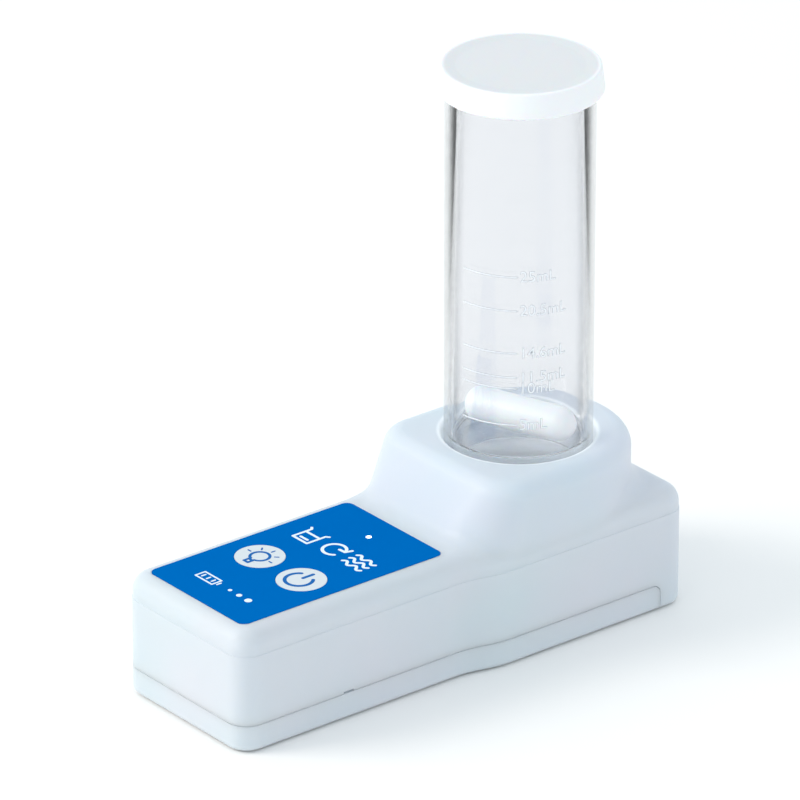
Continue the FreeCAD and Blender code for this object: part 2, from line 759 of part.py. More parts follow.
def make_buttons():
    """The lamp key and the power key, each with its stem, tact switch and plunger."""
    for name, sign in (("light", -1), ("power", 1)):
        x = s.button_spacing * sign
        body = new_body(f"{name}_button", x, BUTTON_Y, BUTTON_UNDER)
        reach = PLUNGER_TOP - BUTTON_UNDER
        revolve(body, [
            (ZERO, reach), (s.stem_radius, reach), (s.stem_radius, ZERO),
            (s.button_radius, ZERO), (s.button_radius, s.button_thickness),
            (ZERO, s.button_thickness),
        ])
        body = new_body(f"{name}_plunger", x, BUTTON_Y, PLUNGER_Z)
        post(body, ZERO, ZERO, ZERO, s.plunger_depth, s.stem_radius)
        body = new_body(f"{name}_switch", x, BUTTON_Y, BOARD_TOP)
        half = s.switch_side / 2
        block(body, -half, -half, ZERO, half, half, s.switch_height)
        bore(body, ZERO, ZERO, PLUNGER_Z - s.button_travel - s.button_gap - BOARD_TOP,
             s.switch_height, s.stem_radius + s.button_gap)


def make_status_light():
    """A clear light pipe through the deck and the small lamp under it."""
    body = new_body("status_light", y=STATUS_Y, z=DECK_UNDER)
    collar = s.status_radius * 2
    revolve(body, [
        (ZERO, -s.status_collar), (collar, -s.status_collar), (collar, ZERO),
        (s.status_radius, ZERO), (s.status_radius, PANEL_TOP - DECK_UNDER),
        (ZERO, PANEL_TOP - DECK_UNDER),
    ])
    body = new_body("status_lamp", y=STATUS_Y, z=BOARD_TOP)
    block(body, -s.lamp_width / 2, -s.lamp_width / 2, ZERO, s.lamp_width / 2, s.lamp_width / 2,
          s.lamp_height)


# ---------------------------------------------------------------- main board
def make_screw(name, x, y, z):
    """A pan-head screw that points up, with its head under the given height."""
    body = new_body(name, x, y, z)
    revolve(body, [
        (ZERO, -s.screw_head_height), (s.screw_head_radius, -s.screw_head_height),
        (s.screw_head_radius, ZERO), (s.screw_radius, ZERO), (s.screw_radius, s.screw_length),
        (ZERO, s.screw_length),
    ])


def make_main_board():
    """The circuit board, the parts on it and the four screws that hold it to the posts."""
    body = new_body("main_board")
    sketch = new_sketch(body, offset=BOARD_Z)
    draw_rounded_rectangle(sketch, -BOARD_HALF, BOARD_FRONT, BOARD_HALF, BOARD_REAR, s.panel_corner)
    for sign, _ in SIDES:
        for hole_y in BOARD_HOLE_YS:
            draw_circle(sketch, BOARD_HOLE_X * sign, hole_y, s.screw_radius + s.screw_gap)
    pad(body, sketch, s.board_thickness)
    for where, hole_y in zip(("front", "rear"), BOARD_HOLE_YS):
        for sign, side in SIDES:
            make_screw(f"board_screw_{where}_{side}", BOARD_HOLE_X * sign, hole_y, BOARD_Z)

    chip = new_body("controller_chip", y=CHIP_Y, z=BOARD_TOP)
    half = s.chip_side / 2
    legs = new_sketch(chip)
    for index in range(5):
        middle = s.chip_leg_pitch * (index - 2)
        draw_rectangle(legs, -half - s.chip_leg_reach, middle - s.chip_leg_width / 2,
                       half + s.chip_leg_reach, middle + s.chip_leg_width / 2)
    pad(chip, legs, s.chip_leg_width)
    block(chip, -half, -half, s.chip_leg_width / 2, half, half, s.chip_height)

    coil = new_body("boost_coil", COIL_X, CHIP_Y, BOARD_TOP)
    post(coil, ZERO, ZERO, ZERO, s.coil_height, s.coil_radius)
    for name, sign in (("battery", -1), ("motor", 1)):
        body = new_body(f"{name}_connector", CONNECTOR_X * sign,
                        BOARD_REAR - s.connector_from_rear, BOARD_TOP)
        block(body, -s.connector_half, -s.connector_depth, ZERO, s.connector_half,
              s.connector_depth, s.coil_height)
        cavity(body, -s.connector_half + s.tray_wall, -s.connector_depth + s.tray_wall,
               s.tray_wall, s.connector_half - s.tray_wall, s.connector_depth, s.coil_height)


# ---------------------------------------------------------------- cells and tray
def make_battery_tray():
    """The open-bottomed tray that the cells clip into, with pillars up to the board."""
    body = new_body("battery_tray")
    block(body, -TRAY_HALF, TRAY_FRONT, TRAY_BOTTOM, TRAY_HALF, TRAY_REAR, TRAY_TOP_Z)
    cavity(body, -TRAY_INNER_HALF, TRAY_FRONT + s.tray_end_wall, TRAY_BOTTOM,
           TRAY_INNER_HALF, TRAY_REAR - s.tray_end_wall, TRAY_UNDER)
    for sign, _ in SIDES:
        for y in (PILLAR_FRONT, PILLAR_FRONT + s.pillar_span):
            post(body, BOARD_HOLE_X * sign, y, TRAY_TOP_Z, BOARD_Z, s.post_radius)


def make_cell(index, toward_front):
    """One cell: a can with a rounded shoulder and a nub at its plus end."""
    x = CELL_PITCH * (index - 2)
    if toward_front:
        y, turn = TRAY_FRONT + s.tray_end_wall + s.plus_room + s.cell_length, 90
    else:
        y, turn = TRAY_FRONT + s.tray_end_wall + s.minus_room, -90
    body = new_body(f"battery_{index}", x, y, CELL_Z)
    body.Placement.Rotation = FreeCAD.Rotation(FreeCAD.Vector(1, 0, 0), turn)
    shoulder = s.cell_length - s.nub_height
    bevel = s.contact_sheet
    revolve(body, [
        (ZERO, ZERO), (s.cell_radius - bevel, ZERO), (s.cell_radius, bevel),
        (s.cell_radius, shoulder - bevel), (s.cell_radius - bevel, shoulder),
        (s.nub_radius, shoulder), (s.nub_radius, s.cell_length), (ZERO, s.cell_length),
    ])


def make_contact(name, wall_y, facing, ends):
    """A stamped contact on an end wall: a dimple for a plus end, a leaf for a minus end.

    facing is +1 on the front wall and -1 on the rear wall; ends lists (cell, is_plus).
    """
    body = new_body(name, y=wall_y, z=CELL_Z)
    tall, sheet_y = s.contact_half_height, s.contact_sheet
    for cell, is_plus in ends:
        sketch = new_sketch(body, "YZ_Plane", CELL_PITCH * (cell - 2))
        if is_plus:
            front = [(s.plus_room, -s.nub_radius / 2), (s.plus_room, s.nub_radius / 2),
                     (sheet_y, s.nub_radius)]
            points = [(ZERO, -tall), (sheet_y, -tall), (sheet_y, -s.nub_radius)] + front
        else:
            points = [(ZERO, -tall), (sheet_y, -tall), (s.minus_room, -s.leaf_tip),
                      (s.minus_room, s.leaf_tip), (sheet_y, s.leaf_root - tall)]
        points += [(sheet_y, tall), (ZERO, tall)]
        draw_polygon(sketch, [(y * facing, z) for y, z in points])
        pad(body, sketch, s.contact_width, midplane=True)
    if len(ends) == 2:
        first, last = (CELL_PITCH * (cell - 2) for cell, _ in ends)
        reach = sheet_y * facing
        low, high = (ZERO, reach) if facing > 0 else (reach, ZERO)
        block(body, first, low, tall - s.link_height, last, high, tall)


def make_cells():
    """Three cells in series with their four contacts."""
    for index, toward_front in ((1, True), (2, False), (3, True)):
        make_cell(index, toward_front)
    front_wall, rear_wall = TRAY_FRONT + s.tray_end_wall, TRAY_REAR - s.tray_end_wall
    make_contact("contact_front_end", front_wall, 1, [(1, True)])
    make_contact("contact_front_link", front_wall, 1, [(2, False), (3, True)])
    make_contact("contact_rear_link", rear_wall, -1, [(1, False), (2, True)])
    make_contact("contact_rear_end", rear_wall, -1, [(3, False)])
    body = new_body("battery_pad")
    block(body, -TRAY_INNER_HALF, TRAY_FRONT + s.pad_inset, FLOOR_TOP, TRAY_INNER_HALF,
          TRAY_REAR - s.pad_inset, FLOOR_TOP + s.pad_thickness)


# ---------------------------------------------------------------- drive
def turned_body(name, turn, z):
    """A body on the tube's axis, turned about it."""
    body = new_body(name, y=TUBE_Y, z=z)
    bind(body, "Placement.Rotation.Angle", turn)
    return body


def make_motor():
    """The flat motor under its bracket, with the shaft that turns the magnet carrier."""
    can = new_body("motor_can", y=TUBE_Y, z=MOTOR_Z)
    revolve(can, [
        (ZERO, s.motor_cap_height), (s.motor_radius, s.motor_cap_height),
        (s.motor_radius, s.motor_height), (s.bearing_radius, s.motor_height),
        (s.bearing_radius, s.motor_height + s.bracket_thickness),
        (ZERO, s.motor_height + s.bracket_thickness),
    ])
    fillet(can, s.motor_round,
           lambda box, edge: near(box.ZMin, s.motor_height) and near(box.XLength, s.motor_radius * 2))
    bore(can, ZERO, ZERO, s.motor_height - s.shaft_depth - s.seat_gap,
         s.motor_height + s.bracket_thickness, s.shaft_radius + s.shaft_gap)
    end_cap = new_body("motor_end_cap", y=TUBE_Y, z=MOTOR_Z)
    post(end_cap, ZERO, ZERO, ZERO, s.motor_cap_height, s.motor_radius - s.motor_round)

    bracket = new_body("motor_bracket", y=TUBE_Y, z=MOTOR_TOP)
    sketch = new_sketch(bracket)
    half = s.bracket_half
    draw_rounded_rectangle(sketch, -half, -half, half, half, s.screw_head_radius)
    draw_circle(sketch, ZERO, ZERO, s.bearing_radius + s.seat_gap)
    for sign, _ in SIDES:
        draw_circle(sketch, s.motor_screw_offset * sign, ZERO, s.screw_radius + s.screw_gap)
        for ahead in (-1, 1):
            draw_circle(sketch, s.bracket_post_offset * sign, s.bracket_post_offset * ahead,
                        s.screw_radius + s.screw_gap)
    pad(bracket, sketch, s.bracket_thickness)
    for ahead, where in ((-1, "front"), (1, "rear")):
        for sign, side in SIDES:
            make_screw(f"bracket_screw_{where}_{side}", s.bracket_post_offset * sign,
                       TUBE_Y + s.bracket_post_offset * ahead, MOTOR_TOP)
    for sign, side in SIDES:
        x = s.motor_screw_offset * sign
        bore(can, x, ZERO, s.motor_height - s.motor_screw_depth, s.motor_height,
             s.screw_radius + s.screw_gap)
        body = new_body(f"motor_screw_{side}", x, TUBE_Y, BRACKET_TOP)
        reach = s.bracket_thickness + s.motor_screw_depth - s.seat_gap
        revolve(body, [
            (ZERO, -reach), (s.screw_radius, -reach), (s.screw_radius, ZERO),
            (s.screw_head_radius, ZERO), (s.screw_head_radius, s.screw_head_height),
            (ZERO, s.screw_head_height),
        ])


def make_rotor():
    """The shaft, the magnet carrier and its two magnets, which turn together."""
    body = new_body("motor_shaft", y=TUBE_Y, z=MOTOR_TOP - s.shaft_depth)
    post(body, ZERO, ZERO, ZERO, CARRIER_TOP - MOTOR_TOP + s.shaft_depth, s.shaft_radius)
    carrier = turned_body("magnet_carrier", s.stir_bar_turn, CARRIER_Z)
    post(carrier, ZERO, ZERO, ZERO, s.carrier_height, s.carrier_radius)
    bore(carrier, ZERO, ZERO, ZERO, s.carrier_height, s.shaft_radius + s.seat_gap)
    for sign, side in SIDES:
        bore(carrier, s.magnet_offset * sign, ZERO, s.carrier_height - s.magnet_height,
             s.carrier_height, s.magnet_radius + s.seat_gap)
        magnet = turned_body(f"drive_magnet_{side}", s.stir_bar_turn, CARRIER_TOP - s.magnet_height)
        post(magnet, s.magnet_offset * sign, ZERO, ZERO, s.magnet_height, s.magnet_radius)


def make_light_ring():
    """A ring of lamps under the clear floor of the well."""
    body = new_body("light_ring_board", y=TUBE_Y, z=RING_Z)
    sketch = new_sketch(body)
    draw_circle(sketch, ZERO, ZERO, RING_OUTER)
    draw_circle(sketch, ZERO, ZERO, RING_INNER)
    pad(body, sketch, s.ring_thickness)
    middle = (RING_INNER + RING_OUTER) / 2
    for index in range(4):
        lamp = turned_body(f"light_lamp_{index + 1}", as_size(45 + 90 * index), LAMP_Z)
        block(lamp, middle - s.lamp_width / 2, -s.lamp_length / 2, ZERO,
              middle + s.lamp_width / 2, s.lamp_length / 2, s.lamp_height)


# ---------------------------------------------------------------- leads
def make_lead(name, x, start_up, stops):
    """A lead that stays in one upright plane and turns square corners with round bends.

    stops are (y, z) points joined by level and upright runs in turn; start_up says that the
    first run is upright.
    """
    body = new_body(name)
    path = new_sketch(body, "YZ_Plane", x)
    bend = s.lead_bend.value
    points = [(y.value, z.value) for y, z in stops]
    lines = []
    for index, (begin, end) in enumerate(zip(points, points[1:])):
        run = math.dist(begin, end)
        way = ((end[0] - begin[0]) / run, (end[1] - begin[1]) / run)
        cut_in = bend if index else 0
        cut_out = bend if index < len(points) - 2 else 0
        lines.append((begin[0] + way[0] * cut_in, begin[1] + way[1] * cut_in,
                      end[0] - way[0] * cut_out, end[1] - way[1] * cut_out))
    ids = path.addGeometry([segment(*line) for line in lines], False)
    for index, line in enumerate(ids):
        is_up = (index % 2 == 0) == start_up
        path.addConstraint(Sketcher.Constraint("Vertical" if is_up else "Horizontal", line))
        y, z = stops[index]
        if is_up:
            dimension(path, "DistanceX", (-1, 1, line, 1), y)
        else:
            dimension(path, "DistanceY", (-1, 1, line, 1), z)
    first_along, last_along = ("DistanceY", "DistanceX") if start_up else ("DistanceX", "DistanceY")
    dimension(path, first_along, (-1, 1, ids[0], 1), stops[0][1] if start_up else stops[0][0])
    last_up = (len(ids) % 2 == 1) == start_up
    dimension(path, "DistanceY" if last_up else "DistanceX", (-1, 1, ids[-1], 2),
              stops[-1][1] if last_up else stops[-1][0])
    for before, after, corner in zip(lines, lines[1:], points[1:]):
        leave, enter = before[2:], after[:2]
        centre = (leave[0] + enter[0] - corner[0], leave[1] + enter[1] - corner[1])
        angles = [math.degrees(math.atan2(p[1] - centre[1], p[0] - centre[0])) for p in (leave, enter)]
        swings_left = (angles[1] - angles[0]) % 360 < 180
        start, end = angles if swings_left else angles[::-1]
        bend_id = path.addGeometry(arc(*centre, bend, start, end if end > start else end + 360), False)
        before_id, after_id = ids[lines.index(before)], ids[lines.index(after)]
        near_end, far_end = (1, 2) if swings_left else (2, 1)
        path.addConstraint(Sketcher.Constraint("Tangent", before_id, 2, bend_id, near_end))
        path.addConstraint(Sketcher.Constraint("Tangent", bend_id, far_end, after_id, 1))
        dimension(path, "Radius", (bend_id,), s.lead_bend)
    start_y, start_z = stops[0]
    if start_up:
        profile = new_sketch(body, "XY_Plane", start_z)
        draw_circle(profile, x, start_y, s.lead_radius)
    else:
        profile = new_sketch(body, "XZ_Plane", -start_y)
        draw_circle(profile, x, start_z, s.lead_radius)
    pipe = body.newObject("PartDesign::AdditivePipe", f"{name}_pipe")
    pipe.Profile = profile
    pipe.Spine = (path, [])


def make_leads():
    """The motor's and the cells' leads up to the board, and the lamp ring's lead down to it."""
    side_y = TUBE_Y - s.motor_radius - s.seat_gap
    run_z = TRAY_TOP_Z + s.lead_rise
    for sign, colour in ((-1, "black"), (1, "red")):
        make_lead(f"motor_lead_{colour}", s.lead_spacing * sign, False, [
            (side_y, run_z), (side_y - s.lead_run, run_z), (side_y - s.lead_run, BOARD_Z)])
        body = new_body(f"battery_lead_{colour}")
        post(body, CELL_PITCH * sign, TRAY_REAR - s.lead_inset, TRAY_TOP_Z, BOARD_Z, s.lead_radius)
    ring_y = TUBE_Y - (RING_INNER + RING_OUTER) / 2
    turn_z = (RING_Z + BOARD_TOP) / 2
    make_lead("light_lead", ZERO, True, [
        (ring_y, RING_Z), (ring_y, turn_z), (BOARD_REAR - s.lead_bend, turn_z),
        (BOARD_REAR - s.lead_bend, BOARD_TOP)])


# ---------------------------------------------------------------- tube, cap and stir bar
def make_sample_tube():
    """The clear tube: a cup on a hollow foot."""
    body = new_body("sample_tube", y=TUBE_Y, z=TUBE_Z)
    inner = s.tube_radius - s.tube_wall
    floor_top = s.tube_foot_height + s.tube_floor
    revolve(body, [
        (inner, ZERO), (s.tube_radius, ZERO), (s.tube_radius, s.tube_height),
        (inner, s.tube_height), (inner, floor_top), (ZERO, floor_top),
        (ZERO, s.tube_foot_height), (inner, s.tube_foot_height),
    ])


def make_tube_cap():
    """The push-on cap: a skirt outside the tube, a plug ring inside it and a dished top."""
    body = new_body("tube_cap", y=TUBE_Y, z=CAP_UNDER)
    skirt_in = s.tube_radius + s.cap_gap
    skirt_out = skirt_in + s.cap_skirt_wall
    top_out = skirt_out - s.cap_top_inset
    skirt_low = s.cap_top - s.cap_height
    plug_out = s.tube_radius - s.tube_wall - s.cap_gap
    plug_in = plug_out - s.plug_wall
    dish_edge = top_out - s.cap_round * 2
    revolve(body, [
        (ZERO, ZERO), (plug_in, ZERO), (plug_in, -s.plug_depth), (plug_out, -s.plug_depth),
        (plug_out, ZERO), (skirt_in, ZERO), (skirt_in, skirt_low), (skirt_out, skirt_low),
        (top_out, s.cap_top), (dish_edge, s.cap_top), (dish_edge - s.cap_dish, s.cap_top - s.cap_dish),
        (ZERO, s.cap_top - s.cap_dish),
    ])
    fillet(body, s.cap_round,
           lambda box, edge: near(box.ZMin, s.cap_top) and near(box.XLength, top_out * 2))
    fillet(body, s.cap_round / 2,
           lambda box, edge: near(box.ZMax, skirt_low) and near(box.XLength, skirt_out * 2))


def make_stir_bar():
    """The capsule-shaped coat with a rod magnet sealed inside it."""
    lie_down = FreeCAD.Rotation(FreeCAD.Vector(0, 0, 1), s.stir_bar_turn.value).multiply(
        FreeCAD.Rotation(FreeCAD.Vector(0, 1, 0), 90))
    coat = new_body("stir_bar", y=TUBE_Y, z=STIR_Z)
    coat.Placement.Rotation = lie_down
    middle = STIR_HALF - s.stir_bar_radius
    radius, reach = s.stir_bar_radius.value, middle.value
    sketch = new_sketch(coat, "XZ_Plane")
    ids = sketch.addGeometry([
        arc(0, -reach, radius, -90, 0),
        segment(radius, -reach, radius, reach),
        arc(0, reach, radius, 0, 90),
        segment(0, reach + radius, 0, -reach - radius),
    ], False)
    for first, second in ((0, 1), (1, 2)):
        sketch.addConstraint(Sketcher.Constraint("Tangent", ids[first], 2, ids[second], 1))
    for first, second in ((2, 3), (3, 0)):
        sketch.addConstraint(Sketcher.Constraint("Coincident", ids[first], 2, ids[second], 1))
    for end in (1, 2):
        sketch.addConstraint(Sketcher.Constraint("PointOnObject", ids[3], end, -2))
    for arc_id, sign in ((ids[0], -1), (ids[2], 1)):
        pin_point(sketch, arc_id, 3, ZERO, middle * sign)
    dimension(sketch, "Radius", (ids[0],), s.stir_bar_radius)
    made = coat.newObject("PartDesign::Revolution", "stir_bar_turn_about")
    made.Profile = sketch
    made.ReferenceAxis = (sketch, ["V_Axis"])
    made.Angle = 360
    doc.recompute()

    hollow = new_sketch(coat, "XZ_Plane")
    room = STIR_MAGNET_HALF + s.seat_gap
    wide = s.stir_magnet_radius + s.seat_gap
    draw_polygon(hollow, [(ZERO, -room), (wide, -room), (wide, room), (ZERO, room)])
    groove = coat.newObject("PartDesign::Groove", "stir_bar_hollow")
    groove.Profile = hollow
    groove.ReferenceAxis = (hollow, ["V_Axis"])
    groove.Angle = 360

    magnet = new_body("stir_bar_magnet", y=TUBE_Y, z=STIR_Z)
    magnet.Placement.Rotation = lie_down
    half = STIR_MAGNET_HALF
    post(magnet, ZERO, ZERO, -half, half, s.stir_magnet_radius)


# ---------------------------------------------------------------- build, check and write
make_upper_housing()
make_base_cover()
make_feet()
make_control_panel()
make_buttons()
make_status_light()
make_main_board()
make_battery_tray()
make_cells()
make_motor()
make_rotor()
make_light_ring()
make_leads()
make_sample_tube()
make_tube_cap()
make_stir_bar()
doc.recompute()

for obj in doc.Objects:
    if "Invalid" in obj.State or "Error" in obj.State:
        raise SystemExit(f"{obj.Name} did not recompute: {obj.State}")
os.makedirs("parts", exist_ok=True)
for body in nodes:
    shape = body.Shape
    if shape.isNull() or not shape.isValid() or len(shape.Solids) != 1:
        raise SystemExit(f"{body.Label} is not one valid solid")
    shape.exportStep(f"parts/{body.Label}.step")
print(len(nodes), "pieces written")
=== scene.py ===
import json
import math

import bmesh
import bpy
import numpy as np
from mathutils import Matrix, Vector


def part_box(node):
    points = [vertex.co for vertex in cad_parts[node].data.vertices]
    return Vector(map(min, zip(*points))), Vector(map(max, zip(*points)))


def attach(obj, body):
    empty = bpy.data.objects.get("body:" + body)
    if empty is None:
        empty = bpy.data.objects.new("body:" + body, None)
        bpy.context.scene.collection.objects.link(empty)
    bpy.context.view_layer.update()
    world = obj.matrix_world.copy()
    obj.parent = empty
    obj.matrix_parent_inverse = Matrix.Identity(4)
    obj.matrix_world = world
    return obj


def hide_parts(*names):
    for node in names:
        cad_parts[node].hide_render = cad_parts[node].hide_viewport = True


# Pocket magnetic stirrer with a sample tube: looks, light and camera over the CAD frame.
# Metres and radians; +Z up, +Y from the handle to the head, +X to the right seen from the handle.

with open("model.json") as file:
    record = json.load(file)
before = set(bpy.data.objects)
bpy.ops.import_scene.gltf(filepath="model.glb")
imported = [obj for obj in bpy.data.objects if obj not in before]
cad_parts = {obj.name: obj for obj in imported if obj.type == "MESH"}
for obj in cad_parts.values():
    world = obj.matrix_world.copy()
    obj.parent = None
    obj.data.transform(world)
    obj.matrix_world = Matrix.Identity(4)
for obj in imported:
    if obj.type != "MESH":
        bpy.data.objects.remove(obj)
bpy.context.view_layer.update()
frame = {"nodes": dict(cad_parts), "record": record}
MM = 0.001
MIX_A, MIX_B, MIX_RESULT = 6, 7, 2  # the Mix node's sockets for colours

# ---------------------------------------------------------------- places read from the frame
PANEL_LOW, PANEL_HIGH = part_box("control_overlay")
KEY_BOXES = {"power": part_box("power_button"), "light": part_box("light_button")}
STATUS_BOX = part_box("status_light")
TUBE_LOW, TUBE_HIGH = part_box("sample_tube")
CAP_LOW, CAP_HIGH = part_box("tube_cap")

TUBE_Y = (TUBE_LOW.y + TUBE_HIGH.y) / 2
TUBE_RADIUS = (TUBE_HIGH.x - TUBE_LOW.x) / 2
CAP_RADIUS = (CAP_HIGH.x - CAP_LOW.x) / 2
PANEL_TOP = PANEL_HIGH.z

# sizes that the boxes don't give
TUBE_WALL = 1.6 * MM
TUBE_FOOT = 8.85 * MM
TUBE_FLOOR = 2.0 * MM
CAP_GAP = 0.06 * MM
PRINT_DEPTH = 0.03 * MM
LAYER_STEP = 0.002 * MM  # strokes that cross never share a face

# millilitre marks: heights in mm above the bench, and angles round the tube in degrees
MARK_HEIGHTS = {"25": 81.3, "20.5": 73.8, "14.6": 64.3, "11.5": 58.9, "10": 56.4, "5": 48.2}
MARK_LINE_START, MARK_LINE_END, MARK_TEXT_START = -86, -41.5, -39.6
MARK_WIDTH = 0.22 * MM
MARK_DEPTH = 0.12 * MM
MARK_TEXT_SIZE = 3.4 * MM

# tint of the clear tube seen square on, and the painted shade at its outline
TUBE_TINT = (0.90, 0.90, 0.915)
TUBE_RIM_PAINTED_SHADE = (0.85, 0.86, 0.90)
TUBE_RIM_ALPHA = 0.3
TUBE_IOR = 1.49


# ---------------------------------------------------------------- camera
def aim_camera():
    """A long lens from the right front, about 25 degrees above the bench."""
    focal_length, distance = 361.43, 1.6246
    azimuth, elevation = math.radians(51.21), math.radians(25.09)
    aside, along, up = 12.82, -17.94, 60.67  # the point it looks at, in mm
    data = bpy.data.cameras.new("camera")
    data.sensor_width = 36
    data.lens = focal_length
    camera = bpy.data.objects.new("camera", data)
    bpy.context.scene.collection.objects.link(camera)
    back = Vector((math.sin(azimuth) * math.cos(elevation),
                   -math.cos(azimuth) * math.cos(elevation), math.sin(elevation)))
    right = Vector((math.cos(azimuth), math.sin(azimuth), 0))
    target = right * aside * MM + Vector((0, along, up)) * MM
    camera.location = target + back * distance
    camera.rotation_mode = "QUATERNION"
    camera.rotation_quaternion = (-back).to_track_quat("-Z", "Y")
    data.clip_start, data.clip_end = 0.1, 20
    bpy.context.scene.camera = camera


# ---------------------------------------------------------------- surfaces
def mesh_piece(name, points, faces, body, material, smooth=True):
    """Put points and faces into a mesh that rides on a body and takes a slot's finish."""
    mesh = bpy.data.meshes.new(name)
    mesh.from_pydata(points.tolist(), [], faces)
    mesh.update()
    mesh.polygons.foreach_set("use_smooth", [smooth] * len(mesh.polygons))
    mesh.materials.append(material)
    piece = bpy.data.objects.new(name, mesh)
    bpy.context.scene.collection.objects.link(piece)
    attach(piece, body)
    return piece


def grid_faces(rows, columns, wrap_rows=False, wrap_columns=False):
    """The quads of a rows by columns grid: corner (i, j) joins (i, j+1), (i+1, j+1), (i+1, j)."""
    i = np.arange(rows if wrap_rows else rows - 1)[:, None]
    j = np.arange(columns if wrap_columns else columns - 1)[None, :]
    i2, j2 = (i + 1) % rows, (j + 1) % columns
    quads = [i * columns + j, i * columns + j2, i2 * columns + j2, i2 * columns + j]
    return np.stack(np.broadcast_arrays(*quads), axis=-1).reshape(-1, 4).tolist()


def rounded(corners, steps=6):
    """Round the corners of a closed outline.

    Each corner is (u, v, radius). Its arc touches both sides at radius * tan(turn / 2) from the
    corner, and is sampled evenly along its angle; a radius of 0 leaves the corner sharp.
    """
    outline = []
    count = len(corners)
    for index, (u, v, radius) in enumerate(corners):
        here = np.array([u, v])
        before = np.array(corners[index - 1][:2]) - here
        after = np.array(corners[(index + 1) % count][:2]) - here
        if radius == 0:
            outline.append(here[None])
            continue
        before, after = before / np.linalg.norm(before), after / np.linalg.norm(after)
        half = math.acos(np.clip(before @ after, -1, 1)) / 2
        middle = (before + after) / np.linalg.norm(before + after)
        centre = here + middle * radius / math.sin(half)
        start = here + before * radius / math.tan(half) - centre
        end = here + after * radius / math.tan(half) - centre
        sweep = math.atan2(start[0] * end[1] - start[1] * end[0], start @ end)
        angle = np.linspace(0, sweep, steps + 1)[:, None]
        aside = np.array([-start[1], start[0]])
        outline.append(centre + start * np.cos(angle) + aside * np.sin(angle))
    return np.concatenate(outline)


def turned_piece(name, outline, axis_y, base_z, body, material, segments=192):
    """Turn a closed outline of (radius, height) about an upright axis.

    Point (i, j) is (r_i cos a_j, axis_y + r_i sin a_j, base_z + h_i), with a_j = 2 pi j / segments.
    The outline runs counter-clockwise in radius and height, so the faces point outwards.
    """
    angle = np.linspace(0, 2 * math.pi, segments, endpoint=False)
    radius, height = outline[:, 0:1], outline[:, 1:2]
    points = np.stack(np.broadcast_arrays(radius * np.cos(angle), axis_y + radius * np.sin(angle),
                                          base_z + height), axis=-1).reshape(-1, 3)
    faces = grid_faces(len(outline), segments, wrap_rows=True, wrap_columns=True)
    piece = mesh_piece(name, points, faces, body, material)
    close_poles(piece)
    return piece


def close_poles(piece):
    """Merge the points that share a place, drop empty faces and point the rest outwards."""
    work = bmesh.new()
    work.from_mesh(piece.data)
    bmesh.ops.remove_doubles(work, verts=work.verts, dist=1e-7)
    bmesh.ops.dissolve_degenerate(work, edges=work.edges, dist=1e-8)
    bmesh.ops.recalc_face_normals(work, faces=work.faces)
    work.to_mesh(piece.data)
    work.free()
    piece.data.update()


def stroke(path, width, z, depth):
    """The points and faces of a flat printed stroke with round ends.

    Station s along the path has half width sqrt((w/2)^2 - e^2), where e is how far s lies past
    either end; each station is a rectangle from z to z + depth across the path. The round ends
    stop just short of a quarter turn, so that the first and last stations keep some width.
    """
    path = np.asarray(path, float)
    half, quarter = width / 2, math.pi / 2 * 0.98
    ends = half * np.sin(np.linspace(quarter, 0, 7))[:-1]
    ahead, behind = path[1] - path[0], path[-1] - path[-2]
    ahead, behind = ahead / np.linalg.norm(ahead), behind / np.linalg.norm(behind)
    stations = np.concatenate([path[0] - ends[:, None] * ahead, path,
                               path[-1] + ends[::-1, None] * behind])
    over = np.concatenate([ends, np.zeros(len(path)), ends[::-1]])
    reach = np.sqrt(half ** 2 - over ** 2)[:, None]
    along = np.gradient(stations, axis=0)
    along /= np.linalg.norm(along, axis=1, keepdims=True)
    across = np.stack([along[:, 1], -along[:, 0]], axis=1) * reach
    low = np.full((len(stations), 1), z)
    ring = [np.hstack([stations - across, low]), np.hstack([stations + across, low]),
            np.hstack([stations + across, low + depth]), np.hstack([stations - across, low + depth])]
    points = np.stack(ring, axis=1).reshape(-1, 3)
    faces = grid_faces(len(stations), 4, wrap_columns=True)
    last = len(points) - 4
    faces += [[0, 1, 2, 3], [last + 3, last + 2, last + 1, last]]
    return points, faces


def arc_path(x, y, radius, start, end, steps=28):
    """Points on an arc from one angle to another, in degrees."""
    angle = np.radians(np.linspace(start, end, steps))
    return np.stack([x + radius * np.cos(angle), y + radius * np.sin(angle)], axis=1)


def line_path(start, end):
    """A straight path between two points."""
    start, end = np.asarray(start, float), np.asarray(end, float)
    return start + (end - start) * np.linspace(0, 1, 5)[:, None]


def bent_path(*points):
    """The straight paths that join a row of points."""
    return [line_path(*leg) for leg in zip(points, points[1:])]


def printed_symbol(name, paths, width, z, body, material):
    """One printed symbol made of strokes that lie on a face."""
    all_points, all_faces, start = [], [], 0
    for index, path in enumerate(paths):
        points, faces = stroke(path, width, z, PRINT_DEPTH + index * LAYER_STEP)
        all_points.append(points)
        all_faces += [[corner + start for corner in face] for face in faces]
        start += len(points)
    piece = mesh_piece(name, np.concatenate(all_points), all_faces, body, material,
                       smooth=False)
    close_poles(piece)
    return piece


